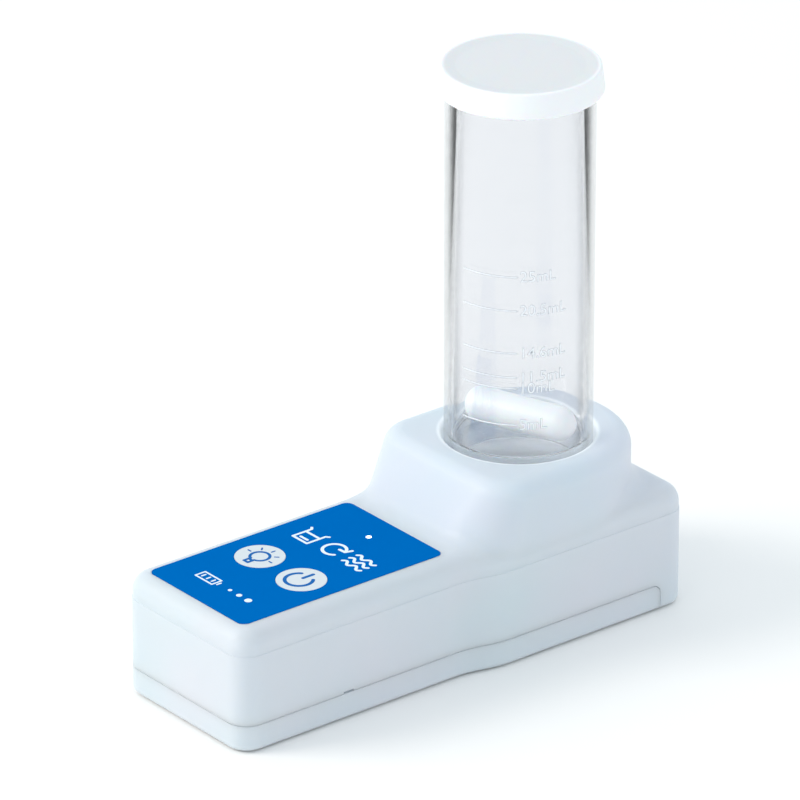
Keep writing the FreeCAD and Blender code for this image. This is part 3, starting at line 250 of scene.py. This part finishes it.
# ---------------------------------------------------------------- shader tools
class Shader:
    """A material under construction: its Principled node and short ways to add the rest."""

    def __init__(self, name, colour, roughness, **values):
        self.material = bpy.data.materials.new(name)
        self.material.use_nodes = True
        self.tree = self.material.node_tree
        self.shader = self.tree.nodes["Principled BSDF"]
        self.shader.inputs["Base Color"].default_value = (*colour, 1)
        self.shader.inputs["Roughness"].default_value = roughness
        for socket, value in values.items():
            self.shader.inputs[socket.replace("_", " ")].default_value = value
        self.place = self.tree.nodes.new("ShaderNodeTexCoord").outputs["Object"]

    def add(self, kind, **settings):
        node = self.tree.nodes.new(kind)
        for name, value in settings.items():
            setattr(node, name, value)
        return node

    def link(self, output, target):
        self.tree.links.new(output, target)

    def group(self, group, **values):
        """Place a shared effect and give it this material's values."""
        node = self.add("ShaderNodeGroup", node_tree=group)
        self.link(self.place, node.inputs["Place"])
        for socket, value in values.items():
            node.inputs[socket].default_value = value
        return node

    def blend(self, mask, first, second):
        """A colour that goes from first to second with a mask."""
        mix = self.add("ShaderNodeMix", data_type="RGBA")
        self.link(mask, mix.inputs["Factor"])
        for index, colour in ((MIX_A, first), (MIX_B, second)):
            if hasattr(colour, "links"):
                self.link(colour, mix.inputs[index])
            else:
                mix.inputs[index].default_value = (*colour, 1)
        return mix.outputs[MIX_RESULT]

    def spread(self, mask, low, high):
        """A number that goes from low to high with a mask."""
        node = self.add("ShaderNodeMapRange")
        self.link(mask, node.inputs["Value"])
        node.inputs["To Min"].default_value = low
        node.inputs["To Max"].default_value = high
        return node.outputs["Result"]

    def feed(self, socket, output):
        self.link(output, self.shader.inputs[socket])

    def beyond(self, near, far):
        """A mask that rises from 0 at one distance from the tube's axis to 1 at another."""
        offset = self.add("ShaderNodeVectorMath", operation="SUBTRACT")
        self.link(self.place, offset.inputs[0])
        offset.inputs[1].default_value = (0, TUBE_Y, 0)
        flat = self.add("ShaderNodeVectorMath", operation="MULTIPLY")
        self.link(offset.outputs["Vector"], flat.inputs[0])
        flat.inputs[1].default_value = (1, 1, 0)
        reach = self.add("ShaderNodeVectorMath", operation="LENGTH")
        self.link(flat.outputs["Vector"], reach.inputs[0])
        mask = self.add("ShaderNodeMapRange", interpolation_type="SMOOTHSTEP")
        self.link(reach.outputs["Value"], mask.inputs["Value"])
        mask.inputs["From Min"].default_value = near
        mask.inputs["From Max"].default_value = far
        return mask.outputs["Result"]


def new_group(name, inputs, outputs):
    """Start a shared effect with named inputs and outputs."""
    group = bpy.data.node_groups.new(name, "ShaderNodeTree")
    group.interface.new_socket("Place", in_out="INPUT", socket_type="NodeSocketVector")
    for socket, value in inputs.items():
        made = group.interface.new_socket(socket, in_out="INPUT", socket_type="NodeSocketFloat")
        made.default_value = value
    for socket, kind in outputs.items():
        group.interface.new_socket(socket, in_out="OUTPUT", socket_type=kind)
    return group, group.nodes.new("NodeGroupInput"), group.nodes.new("NodeGroupOutput")


def moulded_skin():
    """Fine spark-eroded skin of a moulding: a fine noise makes the bump, a slow one the tone."""
    group, given, made = new_group(
        "moulded_skin", {"Grain": 2500.0, "Depth": 0.05, "Tone Scale": 60.0},
        {"Normal": "NodeSocketVector", "Tone": "NodeSocketFloat", "Fine": "NodeSocketFloat"})
    link = group.links.new
    fine = group.nodes.new("ShaderNodeTexNoise")
    fine.inputs["Detail"].default_value = 3
    link(given.outputs["Place"], fine.inputs["Vector"])
    link(given.outputs["Grain"], fine.inputs["Scale"])
    slow = group.nodes.new("ShaderNodeTexNoise")
    slow.inputs["Detail"].default_value = 2
    link(given.outputs["Place"], slow.inputs["Vector"])
    link(given.outputs["Tone Scale"], slow.inputs["Scale"])
    bump = group.nodes.new("ShaderNodeBump")
    bump.inputs["Distance"].default_value = 0.00005
    link(given.outputs["Depth"], bump.inputs["Strength"])
    link(fine.outputs["Fac"], bump.inputs["Height"])
    link(bump.outputs["Normal"], made.inputs["Normal"])
    link(slow.outputs["Fac"], made.inputs["Tone"])
    link(fine.outputs["Fac"], made.inputs["Fine"])
    return group


def drawn_metal():
    """Fine lines of drawn or rolled metal: noise stretched along one axis."""
    group, given, made = new_group(
        "drawn_metal", {"Lines": 3000.0, "Depth": 0.1},
        {"Normal": "NodeSocketVector", "Streak": "NodeSocketFloat"})
    link = group.links.new
    stretch = group.nodes.new("ShaderNodeMapping")
    stretch.inputs["Scale"].default_value = (1, 1, 0.03)
    link(given.outputs["Place"], stretch.inputs["Vector"])
    lines = group.nodes.new("ShaderNodeTexNoise")
    lines.inputs["Detail"].default_value = 4
    link(stretch.outputs["Vector"], lines.inputs["Vector"])
    link(given.outputs["Lines"], lines.inputs["Scale"])
    bump = group.nodes.new("ShaderNodeBump")
    bump.inputs["Distance"].default_value = 0.00003
    link(given.outputs["Depth"], bump.inputs["Strength"])
    link(lines.outputs["Fac"], bump.inputs["Height"])
    link(bump.outputs["Normal"], made.inputs["Normal"])
    link(lines.outputs["Fac"], made.inputs["Streak"])
    return group


def settled_dust():
    """A faint film of dust and finger marks: blotches of noise cut to a soft mask."""
    group, given, made = new_group(
        "settled_dust", {"Patch Scale": 140.0, "Amount": 0.3}, {"Mask": "NodeSocketFloat"})
    link = group.links.new
    patches = group.nodes.new("ShaderNodeTexNoise")
    patches.inputs["Detail"].default_value = 6
    patches.inputs["Roughness"].default_value = 0.65
    link(given.outputs["Place"], patches.inputs["Vector"])
    link(given.outputs["Patch Scale"], patches.inputs["Scale"])
    cut = group.nodes.new("ShaderNodeMapRange")
    cut.inputs["From Min"].default_value = 0.45
    cut.inputs["From Max"].default_value = 0.8
    link(patches.outputs["Fac"], cut.inputs["Value"])
    scale = group.nodes.new("ShaderNodeMath")
    scale.operation = "MULTIPLY"
    link(cut.outputs["Result"], scale.inputs[0])
    link(given.outputs["Amount"], scale.inputs[1])
    link(scale.outputs["Value"], made.inputs["Mask"])
    return group


SKIN, METAL, DUST = moulded_skin(), drawn_metal(), settled_dust()


def start_moulding(name, colour, other, roughness, grain=2500.0, depth=0.08, tone=60.0, **values):
    """A moulded plastic, still open to additions: two close colours, fine skin, uneven gloss."""
    made = Shader(name, colour, roughness, **values)
    skin = made.group(SKIN, Grain=grain, Depth=depth, **{"Tone Scale": tone})
    dust = made.group(DUST)
    made.feed("Base Color", made.blend(skin.outputs["Tone"], colour, other))
    made.feed("Roughness", made.spread(dust.outputs["Mask"], roughness, roughness + 0.25))
    made.feed("Normal", skin.outputs["Normal"])
    return made


def moulding(*values, **more):
    """A plain moulded plastic."""
    return start_moulding(*values, **more).material


def metal(name, colour, other, roughness, lines=3000.0, depth=0.1):
    """A bare or plated metal with fine drawing lines and duller patches."""
    made = Shader(name, colour, roughness, Metallic=1.0)
    drawn = made.group(METAL, Lines=lines, Depth=depth)
    dust = made.group(DUST, Amount=0.6)
    made.feed("Base Color", made.blend(drawn.outputs["Streak"], colour, other))
    made.feed("Roughness", made.spread(dust.outputs["Mask"], roughness, roughness + 0.3))
    made.feed("Normal", drawn.outputs["Normal"])
    return made.material


# ---------------------------------------------------------------- finishes
def milky_case():
    """The milky white case plastic: slightly see-through, so light gathers under its skin.

    The walls of the tube's well carry painted light: they are drawn lighter and glow a little,
    in place of the light that passes through the case.
    """
    made = start_moulding("milky_case", (0.575, 0.705, 0.735), (0.735, 0.695, 0.765), 0.42,
                          grain=3200.0, depth=0.06, tone=28.0, Subsurface_Weight=0.55,
                          Subsurface_Scale=0.004, Subsurface_Radius=(1.0, 1.1, 1.25),
                          Specular_IOR_Level=0.4)
    height = made.add("ShaderNodeSeparateXYZ")
    made.link(made.place, height.inputs["Vector"])
    under = made.add("ShaderNodeMath", operation="LESS_THAN")
    made.link(height.outputs["Z"], under.inputs[0])
    under.inputs[1].default_value = TUBE_LOW.z - 0.5 * MM
    outer = made.add("ShaderNodeMath", operation="MAXIMUM")
    well_wall = made.beyond(TUBE_RADIUS + 0.8 * MM, TUBE_RADIUS + 1.8 * MM)
    made.link(well_wall, outer.inputs[0])
    made.link(under.outputs["Value"], outer.inputs[1])
    outside_painted_light = outer.outputs["Value"]
    skin = made.shader.inputs["Base Color"].links[0].from_socket
    # painted light: inside the well the case is drawn lighter and given a faint glow
    made.feed("Base Color", made.blend(outside_painted_light, (0.80, 0.83, 0.85), skin))
    made.feed("Emission Color", made.blend(outside_painted_light, (0.10, 0.11, 0.12), (0.0, 0.0, 0.0)))
    made.shader.inputs["Emission Strength"].default_value = 1.0
    return made.material


def cap_plastic():
    """The cap's white plastic, with painted shade that makes the middle of its top a little greyer.
    """
    made = start_moulding("cap_plastic", (0.94, 0.945, 0.95), (0.96, 0.96, 0.965), 0.45,
                          grain=2600.0, depth=0.07, Subsurface_Weight=0.3, Subsurface_Scale=0.002)
    skirt = made.beyond(CAP_RADIUS - 2.0 * MM, CAP_RADIUS - 0.8 * MM)
    skin = made.shader.inputs["Base Color"].links[0].from_socket
    # painted shade: the middle of the top is drawn greyer than the skirt
    made.feed("Base Color", made.blend(skirt, (0.73, 0.735, 0.735), skin))
    return made.material


def panel_film():
    """Blue printed film with a very fine velvet texture."""
    return moulding("panel_film", (0.0, 0.13, 0.455), (0.0, 0.14, 0.475), 0.5, grain=5200.0,
                    depth=0.10, tone=45.0, Specular_IOR_Level=0.0)


def clear_tube():
    """Clear moulded plastic: painted shade greys its outline, which is partly see-through without
    refraction.

    Shadow and diffuse rays pass it freely, so it casts no shadow.
    """
    made = Shader("clear_tube", TUBE_TINT, 0.01, IOR=TUBE_IOR, Transmission_Weight=1.0)
    dust = made.group(DUST, Amount=0.25)
    made.feed("Roughness", made.spread(dust.outputs["Mask"], 0.0, 0.04))
    rim = made.add("ShaderNodeLayerWeight")
    rim.inputs["Blend"].default_value = 0.4
    grazing = made.add("ShaderNodeMapRange", interpolation_type="SMOOTHSTEP")
    made.link(rim.outputs["Facing"], grazing.inputs["Value"])
    grazing.inputs["From Min"].default_value = 0.4
    grazing.inputs["From Max"].default_value = 0.65
    # painted shade: the outline is drawn greyer than the face
    made.feed("Base Color", made.blend(grazing.outputs["Result"], TUBE_TINT, TUBE_RIM_PAINTED_SHADE))
    path = made.add("ShaderNodeLightPath")
    lighting = made.add("ShaderNodeMath", operation="MAXIMUM")
    made.link(path.outputs["Is Shadow Ray"], lighting.inputs[0])
    made.link(path.outputs["Is Diffuse Ray"], lighting.inputs[1])
    seen = made.add("ShaderNodeMapRange")
    made.link(lighting.outputs["Value"], seen.inputs["Value"])
    made.link(made.spread(grazing.outputs["Result"], 1.0, TUBE_RIM_ALPHA), seen.inputs["To Min"])
    seen.inputs["To Max"].default_value = 0.0
    made.feed("Alpha", seen.outputs["Result"])
    return made.material


def board_mask():
    """Green solder mask with darker traces under it and small tinned pads."""
    made = Shader("board_mask", (0.02, 0.16, 0.06), 0.3, Coat_Weight=0.4, Coat_Roughness=0.15)
    traces = made.add("ShaderNodeTexBrick", offset=0.5)
    traces.inputs["Scale"].default_value = 320.0
    traces.inputs["Mortar Size"].default_value = 0.035
    made.link(made.place, traces.inputs["Vector"])
    pads = made.add("ShaderNodeTexVoronoi", feature="F1")
    pads.inputs["Scale"].default_value = 420.0
    made.link(made.place, pads.inputs["Vector"])
    spot = made.add("ShaderNodeMath", operation="LESS_THAN")
    spot.inputs[1].default_value = 0.16
    made.link(pads.outputs["Distance"], spot.inputs[0])
    masked = made.blend(traces.outputs["Fac"], (0.02, 0.17, 0.07), (0.01, 0.09, 0.035))
    made.feed("Base Color", made.blend(spot.outputs["Value"], masked, (0.62, 0.60, 0.52)))
    made.feed("Metallic", spot.outputs["Value"])
    skin = made.group(SKIN, Grain=1500.0, Depth=0.05)
    made.feed("Normal", skin.outputs["Normal"])
    return made.material


def cell_wrap():
    """The wrap of a dry cell: a dark sleeve with a copper-coloured band."""
    sleeve, copper = (0.02, 0.02, 0.025), (0.55, 0.24, 0.08)
    made = Shader("cell_wrap", sleeve, 0.28, Metallic=0.2, Coat_Weight=0.5)
    bands = made.add("ShaderNodeTexWave", wave_type="BANDS", bands_direction="Y")
    bands.inputs["Scale"].default_value = 7.0
    bands.inputs["Distortion"].default_value = 0.0
    made.link(made.place, bands.inputs["Vector"])
    edge = made.add("ShaderNodeMath", operation="GREATER_THAN")
    edge.inputs[1].default_value = 0.72
    made.link(bands.outputs["Fac"], edge.inputs[0])
    skin = made.group(SKIN, Grain=1800.0, Depth=0.05)
    made.feed("Base Color", made.blend(edge.outputs["Value"], sleeve, copper))
    made.feed("Normal", skin.outputs["Normal"])
    return made.material


def lamp_package():
    """White lamp package, mottled with the warm tone of its phosphor."""
    return moulding("lamp_package", (0.9, 0.9, 0.86), (0.85, 0.80, 0.45), 0.25, tone=500.0)


def lit_pipe():
    """The status light's pipe, lit all over."""
    made = Shader("lit_pipe", (0.95, 0.97, 1.0), 0.2, Emission_Strength=1.6)
    glow = made.group(SKIN, Grain=900.0, Depth=0.02)
    made.feed("Emission Color", made.blend(glow.outputs["Fine"], (0.80, 0.92, 1.0), (1.0, 1.0, 1.0)))
    made.feed("Normal", glow.outputs["Normal"])
    return made.material


FINISHES = {
    "case_plastic": milky_case(),
    "panel_print": panel_film(),
    "key_plastic": moulding("key_plastic", (0.66, 0.70, 0.725), (0.69, 0.72, 0.74), 0.45,
                            grain=4200.0),
    "clear_pipe": lit_pipe(),
    "plunger_plastic": moulding("plunger_plastic", (0.02, 0.02, 0.022), (0.03, 0.03, 0.03), 0.5),
    "switch_metal": metal("switch_metal", (0.60, 0.61, 0.62), (0.48, 0.49, 0.5), 0.35),
    "board_laminate": board_mask(),
    "lamp_body": lamp_package(),
    "screw_steel": metal("screw_steel", (0.64, 0.64, 0.62), (0.5, 0.5, 0.48), 0.32),
    "chip_epoxy": moulding("chip_epoxy", (0.015, 0.015, 0.016), (0.025, 0.025, 0.025), 0.55,
                           depth=0.3),
    "coil_ferrite": moulding("coil_ferrite", (0.04, 0.04, 0.045), (0.07, 0.065, 0.06), 0.6,
                             depth=0.4),
    "connector_plastic": moulding("connector_plastic", (0.78, 0.74, 0.62), (0.82, 0.79, 0.69), 0.45),
    "tray_plastic": moulding("tray_plastic", (0.02, 0.021, 0.024), (0.032, 0.032, 0.036), 0.5,
                             depth=0.2),
    "cell_wrap": cell_wrap(),
    "contact_metal": metal("contact_metal", (0.70, 0.68, 0.62), (0.58, 0.56, 0.5), 0.28),
    "pad_foam": moulding("pad_foam", (0.03, 0.03, 0.033), (0.06, 0.06, 0.065), 0.9, grain=900.0,
                         depth=0.9),
    "motor_steel": metal("motor_steel", (0.56, 0.57, 0.58), (0.45, 0.46, 0.47), 0.3),
    "motor_plastic": moulding("motor_plastic", (0.72, 0.69, 0.58), (0.77, 0.74, 0.64), 0.45),
    "bracket_metal": metal("bracket_metal", (0.62, 0.63, 0.64), (0.5, 0.51, 0.53), 0.4, lines=1800.0),
    "shaft_steel": metal("shaft_steel", (0.7, 0.7, 0.7), (0.58, 0.58, 0.59), 0.18),
    "carrier_plastic": moulding("carrier_plastic", (0.62, 0.62, 0.59), (0.68, 0.67, 0.63), 0.45),
    "magnet_metal": metal("magnet_metal", (0.68, 0.68, 0.69), (0.6, 0.6, 0.62), 0.16, depth=0.04),
    "red_lead": moulding("red_lead", (0.45, 0.01, 0.01), (0.52, 0.02, 0.015), 0.35),
    "black_lead": moulding("black_lead", (0.012, 0.012, 0.013), (0.02, 0.02, 0.02), 0.35),
    "white_lead": moulding("white_lead", (0.75, 0.75, 0.74), (0.8, 0.8, 0.78), 0.35),
    "clear_tube": clear_tube(),
    "cap_plastic": cap_plastic(),
    "stir_coat": moulding("stir_coat", (0.92, 0.93, 0.94), (0.94, 0.94, 0.94), 0.28, grain=1400.0,
                          depth=0.04, Subsurface_Weight=0.4, Subsurface_Scale=0.002),
    "foot_rubber": moulding("foot_rubber", (0.52, 0.56, 0.60), (0.57, 0.60, 0.63), 0.7, depth=0.3),
}
PRINT_WHITE = moulding("print_white", (0.80, 0.87, 0.94), (0.84, 0.90, 0.95), 0.45, grain=5200.0)
PRINT_BLUE = moulding("print_blue", (0.0, 0.115, 0.40), (0.0, 0.13, 0.43), 0.5, grain=5200.0,
                      Specular_IOR_Level=0.1)
# painted highlight on the clear ridge of each mark, painted shadow on its wider foot
MARK_PAINTED_HIGHLIGHT = moulding("mark_painted_highlight", (0.93, 0.94, 0.96), (0.95, 0.96, 0.97), 0.35, grain=3000.0)
MARK_PAINTED_SHADOW = moulding("mark_painted_shadow", (0.50, 0.52, 0.56), (0.56, 0.58, 0.61), 0.4, grain=3000.0,
                     Alpha=0.6)


def dress_cad_nodes():
    """Give every CAD node the finish of its slot."""
    for part in frame["record"]["subparts"]:
        node = frame["nodes"][part["node"]]
        finish = FINISHES[part["material_slot"]]
        if not node.material_slots:
            node.data.materials.append(finish)
        for held in node.material_slots:
            held.material = finish


# ---------------------------------------------------------------- tube, cap and marks
def make_tube():
    """The clear tube with a rounded rim, a hollow foot and filleted floor corners."""
    inner, height = TUBE_RADIUS - TUBE_WALL, TUBE_HIGH.z - TUBE_LOW.z
    floor_top = TUBE_FOOT + TUBE_FLOOR
    rim, bend = 0.45 * MM, 0.8 * MM
    outline = rounded([
        (inner, 0, rim), (TUBE_RADIUS, 0, rim), (TUBE_RADIUS, height, rim), (inner, height, rim),
        (inner, floor_top, bend), (0, floor_top, 0), (0, TUBE_FOOT, 0), (inner, TUBE_FOOT, bend)])
    piece = turned_piece("clear_tube_wall", outline, TUBE_Y, TUBE_LOW.z, "tube",
                         FINISHES["clear_tube"])
    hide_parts("sample_tube")


def make_cap():
    """The white cap: tapered skirt, crisp shoulder and a top that dips gently to its middle."""
    height = CAP_HIGH.z - CAP_LOW.z
    taper, top_thickness, plug_wall, plug_depth = 0.75 * MM, 1.6 * MM, 1.1 * MM, 3.6 * MM
    skirt_in, top_out = TUBE_RADIUS + CAP_GAP, CAP_RADIUS - taper
    plug_out = TUBE_RADIUS - TUBE_WALL - CAP_GAP
    plug_in, ceiling = plug_out - plug_wall, height - top_thickness
    plug_low, dish = ceiling - plug_depth, 0.25 * MM
    outline = rounded([
        (0, ceiling, 0), (plug_in, ceiling, 0.3 * MM), (plug_in, plug_low, 0.3 * MM),
        (plug_out, plug_low, 0.4 * MM), (plug_out, ceiling, 0), (skirt_in, ceiling, 0),
        (skirt_in, 0, 0.3 * MM), (CAP_RADIUS, 0, 0.8 * MM), (top_out, height, 0.45 * MM),
        (top_out - 1.1 * MM, height - 0.05 * MM, 0.5 * MM),
        (top_out - 3.2 * MM, height - dish, 6 * MM), (0, height - dish, 0)])
    piece = turned_piece("cap_shell", outline, TUBE_Y, CAP_LOW.z, "cap",
                         FINISHES["cap_plastic"])
    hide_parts("tube_cap")


def wrap_on_tube(points, angle, z, lift):
    """Bend flat points on to the tube, at an angle and a height.

    x becomes arc length, y height and z how far a point stands out, beyond the common lift.
    """
    radius = TUBE_RADIUS + lift + points[:, 2]
    turn = angle + points[:, 0] / TUBE_RADIUS
    return np.stack([radius * np.cos(turn), TUBE_Y + radius * np.sin(turn), z + points[:, 1]], axis=1)


def make_marks():
    """Raised millilitre lines and numbers round the tube's wall.

    Each ridge has a painted highlight; its slightly wider foot has painted shadow, as on a lit rib.
    """
    line_start, line_end = math.radians(MARK_LINE_START), math.radians(MARK_LINE_END)
    length, stations = (line_end - line_start) * TUBE_RADIUS, 40
    path = np.stack([np.linspace(0, length, stations), np.zeros(stations)], axis=1)
    layers = (("foot", 0.07 * MM, 0.05 * MM, MARK_PAINTED_SHADOW), ("ridge", 0.0, MARK_DEPTH, MARK_PAINTED_HIGHLIGHT))
    for label, height in MARK_HEIGHTS.items():
        word = "mark_" + label.replace(".", "_")
        for layer, widen, depth, finish in layers:
            points, faces = stroke(path, MARK_WIDTH + 2 * widen, 0, depth)
            points = wrap_on_tube(points, line_start, height * MM, 0)
            piece = mesh_piece(f"{word}_line_{layer}", points, faces, "tube", finish)
            close_poles(piece)
            make_number(f"{word}_number_{layer}", f"{label}mL", height * MM, widen, depth, finish)


def make_number(name, text, z, widen, depth, finish):
    """A raised number, cut from the plain built-in font and wrapped round the tube."""
    curve = bpy.data.curves.new(name, "FONT")
    curve.body = text
    curve.size = MARK_TEXT_SIZE
    curve.offset = widen - 0.03 * MM  # slims the strokes of the font
    curve.extrude = depth / 2
    curve.align_y = "CENTER"
    holder = bpy.data.objects.new(name, curve)
    bpy.context.scene.collection.objects.link(holder)
    bpy.context.view_layer.update()
    mesh = bpy.data.meshes.new_from_object(holder)
    bpy.data.objects.remove(holder)
    points = np.zeros(len(mesh.vertices) * 3)
    mesh.vertices.foreach_get("co", points)
    bent = wrap_on_tube(points.reshape(-1, 3), math.radians(MARK_TEXT_START), z, depth / 2)
    mesh.vertices.foreach_set("co", bent.ravel())
    mesh.materials.clear()
    mesh.materials.append(finish)
    mesh.update()
    piece = bpy.data.objects.new(name, mesh)
    bpy.context.scene.collection.objects.link(piece)
    close_poles(piece)
    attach(piece, "tube")


# ---------------------------------------------------------------- printed symbols
def make_power_symbol():
    """An open ring with a bar through its gap."""
    low, high = KEY_BOXES["power"]
    x, y = (low.x + high.x) / 2 - 0.3 * MM, (low.y + high.y) / 2 - 0.4 * MM
    ring = arc_path(x, y, 2.9 * MM, 131, 409, 60)
    bar = line_path((x, y + 1.1 * MM), (x, y + 3.7 * MM))
    printed_symbol("power_symbol", [ring, bar], 0.78 * MM, high.z, "power_button",
                   PRINT_BLUE)


def make_lamp_symbol():
    """A bulb with a square base, and five short rays."""
    low, high = KEY_BOXES["light"]
    x, y = (low.x + high.x) / 2, (low.y + high.y) / 2
    base, half = y - 3.0 * MM, 0.62 * MM
    bulb = [arc_path(x, y, 2.05 * MM, -74, 254, 50),
            line_path((x - half, base + 1.1 * MM), (x - half, base - half)),
            line_path((x + half, base + 1.1 * MM), (x + half, base - half)),
            line_path((x - half, base - half), (x + half, base - half)),
            line_path((x - half, base + half), (x + half, base + half))]
    printed_symbol("lamp_symbol", bulb, 0.64 * MM, high.z, "light_button", PRINT_BLUE)
    rays, middle = [], np.array([x, y])
    for angle in np.radians([0, 45, 90, 135, 180]):
        way = np.array([math.cos(angle), math.sin(angle)])
        rays.append(line_path(middle + way * 3.05 * MM, middle + way * 3.85 * MM))
    printed_symbol("ray_symbol", rays, 0.36 * MM, high.z, "light_button", PRINT_BLUE)


def make_panel_symbols():
    """Plain pictograms on the film: beaker, turning arrow and waves, then a cell and three dots."""
    z = PANEL_TOP
    y = STATUS_BOX[0].y - 7.9 * MM
    x, wide, tall = -7.8 * MM, 2.3 * MM, 2.7 * MM
    beaker = bent_path((x - wide - 0.6 * MM, y + tall), (x - wide, y + tall - 0.5 * MM),
                       (x - wide, y - tall), (x + wide, y - tall), (x + wide, y + tall - 0.5 * MM),
                       (x + wide + 0.6 * MM, y + tall))
    beaker += [line_path((x - 1.1 * MM, y - 1.6 * MM), (x + 1.1 * MM, y - 1.6 * MM)),
               line_path((x - wide, y + 0.7 * MM), (x + wide, y + 0.7 * MM))]
    printed_symbol("beaker_symbol", beaker, 0.6 * MM, z, "housing", PRINT_WHITE)
    x, reach = 0.2 * MM, 2.5 * MM
    tip = (x + reach * math.cos(math.radians(20)), y + reach * math.sin(math.radians(20)))
    turning = [arc_path(x, y, reach, 20, 320)]
    turning += bent_path((tip[0] - 1.6 * MM, tip[1] - 0.1 * MM), tip,
                         (tip[0] + 0.5 * MM, tip[1] + 1.5 * MM))
    printed_symbol("turning_symbol", turning, 0.7 * MM, z, "housing", PRINT_WHITE)
    waves, wave_length, swing = [], 3.0 * MM, 0.55 * MM
    for row in (-1, 0, 1):
        along = np.linspace(5.2 * MM, 11.2 * MM, 40)
        turn = (along - along[0]) / wave_length * 2 * math.pi
        height = y + row * 1.9 * MM + swing * np.sin(turn)
        waves.append(np.stack([along, height], axis=1))
    printed_symbol("wave_symbol", waves, 0.65 * MM, z, "housing", PRINT_WHITE)

    y = PANEL_LOW.y + 7.6 * MM
    left, right, half = -8.2 * MM, -2.8 * MM, 1.25 * MM
    cell = bent_path((left, y - half), (right, y - half), (right, y + half), (left, y + half),
                     (left, y - half))
    cell.append(line_path((right + 0.75 * MM, y - 0.5 * MM), (right + 0.75 * MM, y + 0.5 * MM)))
    for step in range(3):
        bar_x = left + (1.1 + 1.6 * step) * MM
        cell.append(line_path((bar_x, y - 0.45 * MM), (bar_x, y + 0.45 * MM)))
    printed_symbol("cell_symbol", cell, 0.42 * MM, z, "housing", PRINT_WHITE)
    for index, dot_x in enumerate((1.6, 4.6, 7.6)):
        size = (0.9 + 0.35 * index) * MM
        dot = line_path((dot_x * MM - 1e-5, y), (dot_x * MM + 1e-5, y))  # short, so it is round
        printed_symbol(f"dot_symbol_{index + 1}", [dot], size, z, "housing",
                       PRINT_WHITE)


# ---------------------------------------------------------------- floor and light
def make_floor():
    """A plain bench, slightly warm so that it reads white under the cool surroundings."""
    reach = 6.0
    corners = [(-reach, -reach, 0), (reach, -reach, 0), (reach, reach, 0), (-reach, reach, 0)]
    mesh = bpy.data.meshes.new("bench")
    mesh.from_pydata(corners, [], [(0, 1, 2, 3)])
    bench = Shader("bench", (0.99, 0.96, 0.93), 0.85, Specular_IOR_Level=0.1)
    mesh.materials.append(bench.material)
    floor = bpy.data.objects.new("bench", mesh)
    bpy.context.scene.collection.objects.link(floor)


def area_light(name, place, target, side, watts, colour):
    """A square soft box that looks at a point."""
    data = bpy.data.lights.new(name, "AREA")
    data.shape = "SQUARE"
    data.size = side
    data.energy = watts
    data.color = colour
    lamp = bpy.data.objects.new(name, data)
    bpy.context.scene.collection.objects.link(lamp)
    lamp.location = place
    lamp.rotation_mode = "QUATERNION"
    lamp.rotation_quaternion = (Vector(target) - Vector(place)).to_track_quat("-Z", "Y")


def make_light():
    """Cool white surroundings and a warmer, broad key light from the upper left front.

    Seen directly, the surroundings are a plain pale grey.
    """
    world = bpy.data.worlds.new("studio")
    bpy.context.scene.world = world
    world.use_nodes = True
    background = world.node_tree.nodes["Background"]
    background.inputs["Strength"].default_value = 0.95
    path = world.node_tree.nodes.new("ShaderNodeLightPath")
    tint = world.node_tree.nodes.new("ShaderNodeMix")
    tint.data_type = "RGBA"
    tint.inputs[MIX_A].default_value = (0.88, 0.97, 1.035, 1)
    tint.inputs[MIX_B].default_value = (0.86, 0.87, 0.88, 1)
    world.node_tree.links.new(path.outputs["Is Camera Ray"], tint.inputs["Factor"])
    world.node_tree.links.new(tint.outputs[MIX_RESULT], background.inputs["Color"])
    area_light("key_box", place=(-0.70, -1.10, 0.85), target=(0, 0, 0.03), side=0.7, watts=10.5,
               colour=(1.0, 0.945, 0.88))
    bpy.context.scene.view_settings.view_transform = "Standard"


# ---------------------------------------------------------------- build
aim_camera()
dress_cad_nodes()
make_tube()
make_cap()
make_marks()
make_power_symbol()
make_lamp_symbol()
make_panel_symbols()
make_floor()
make_light()
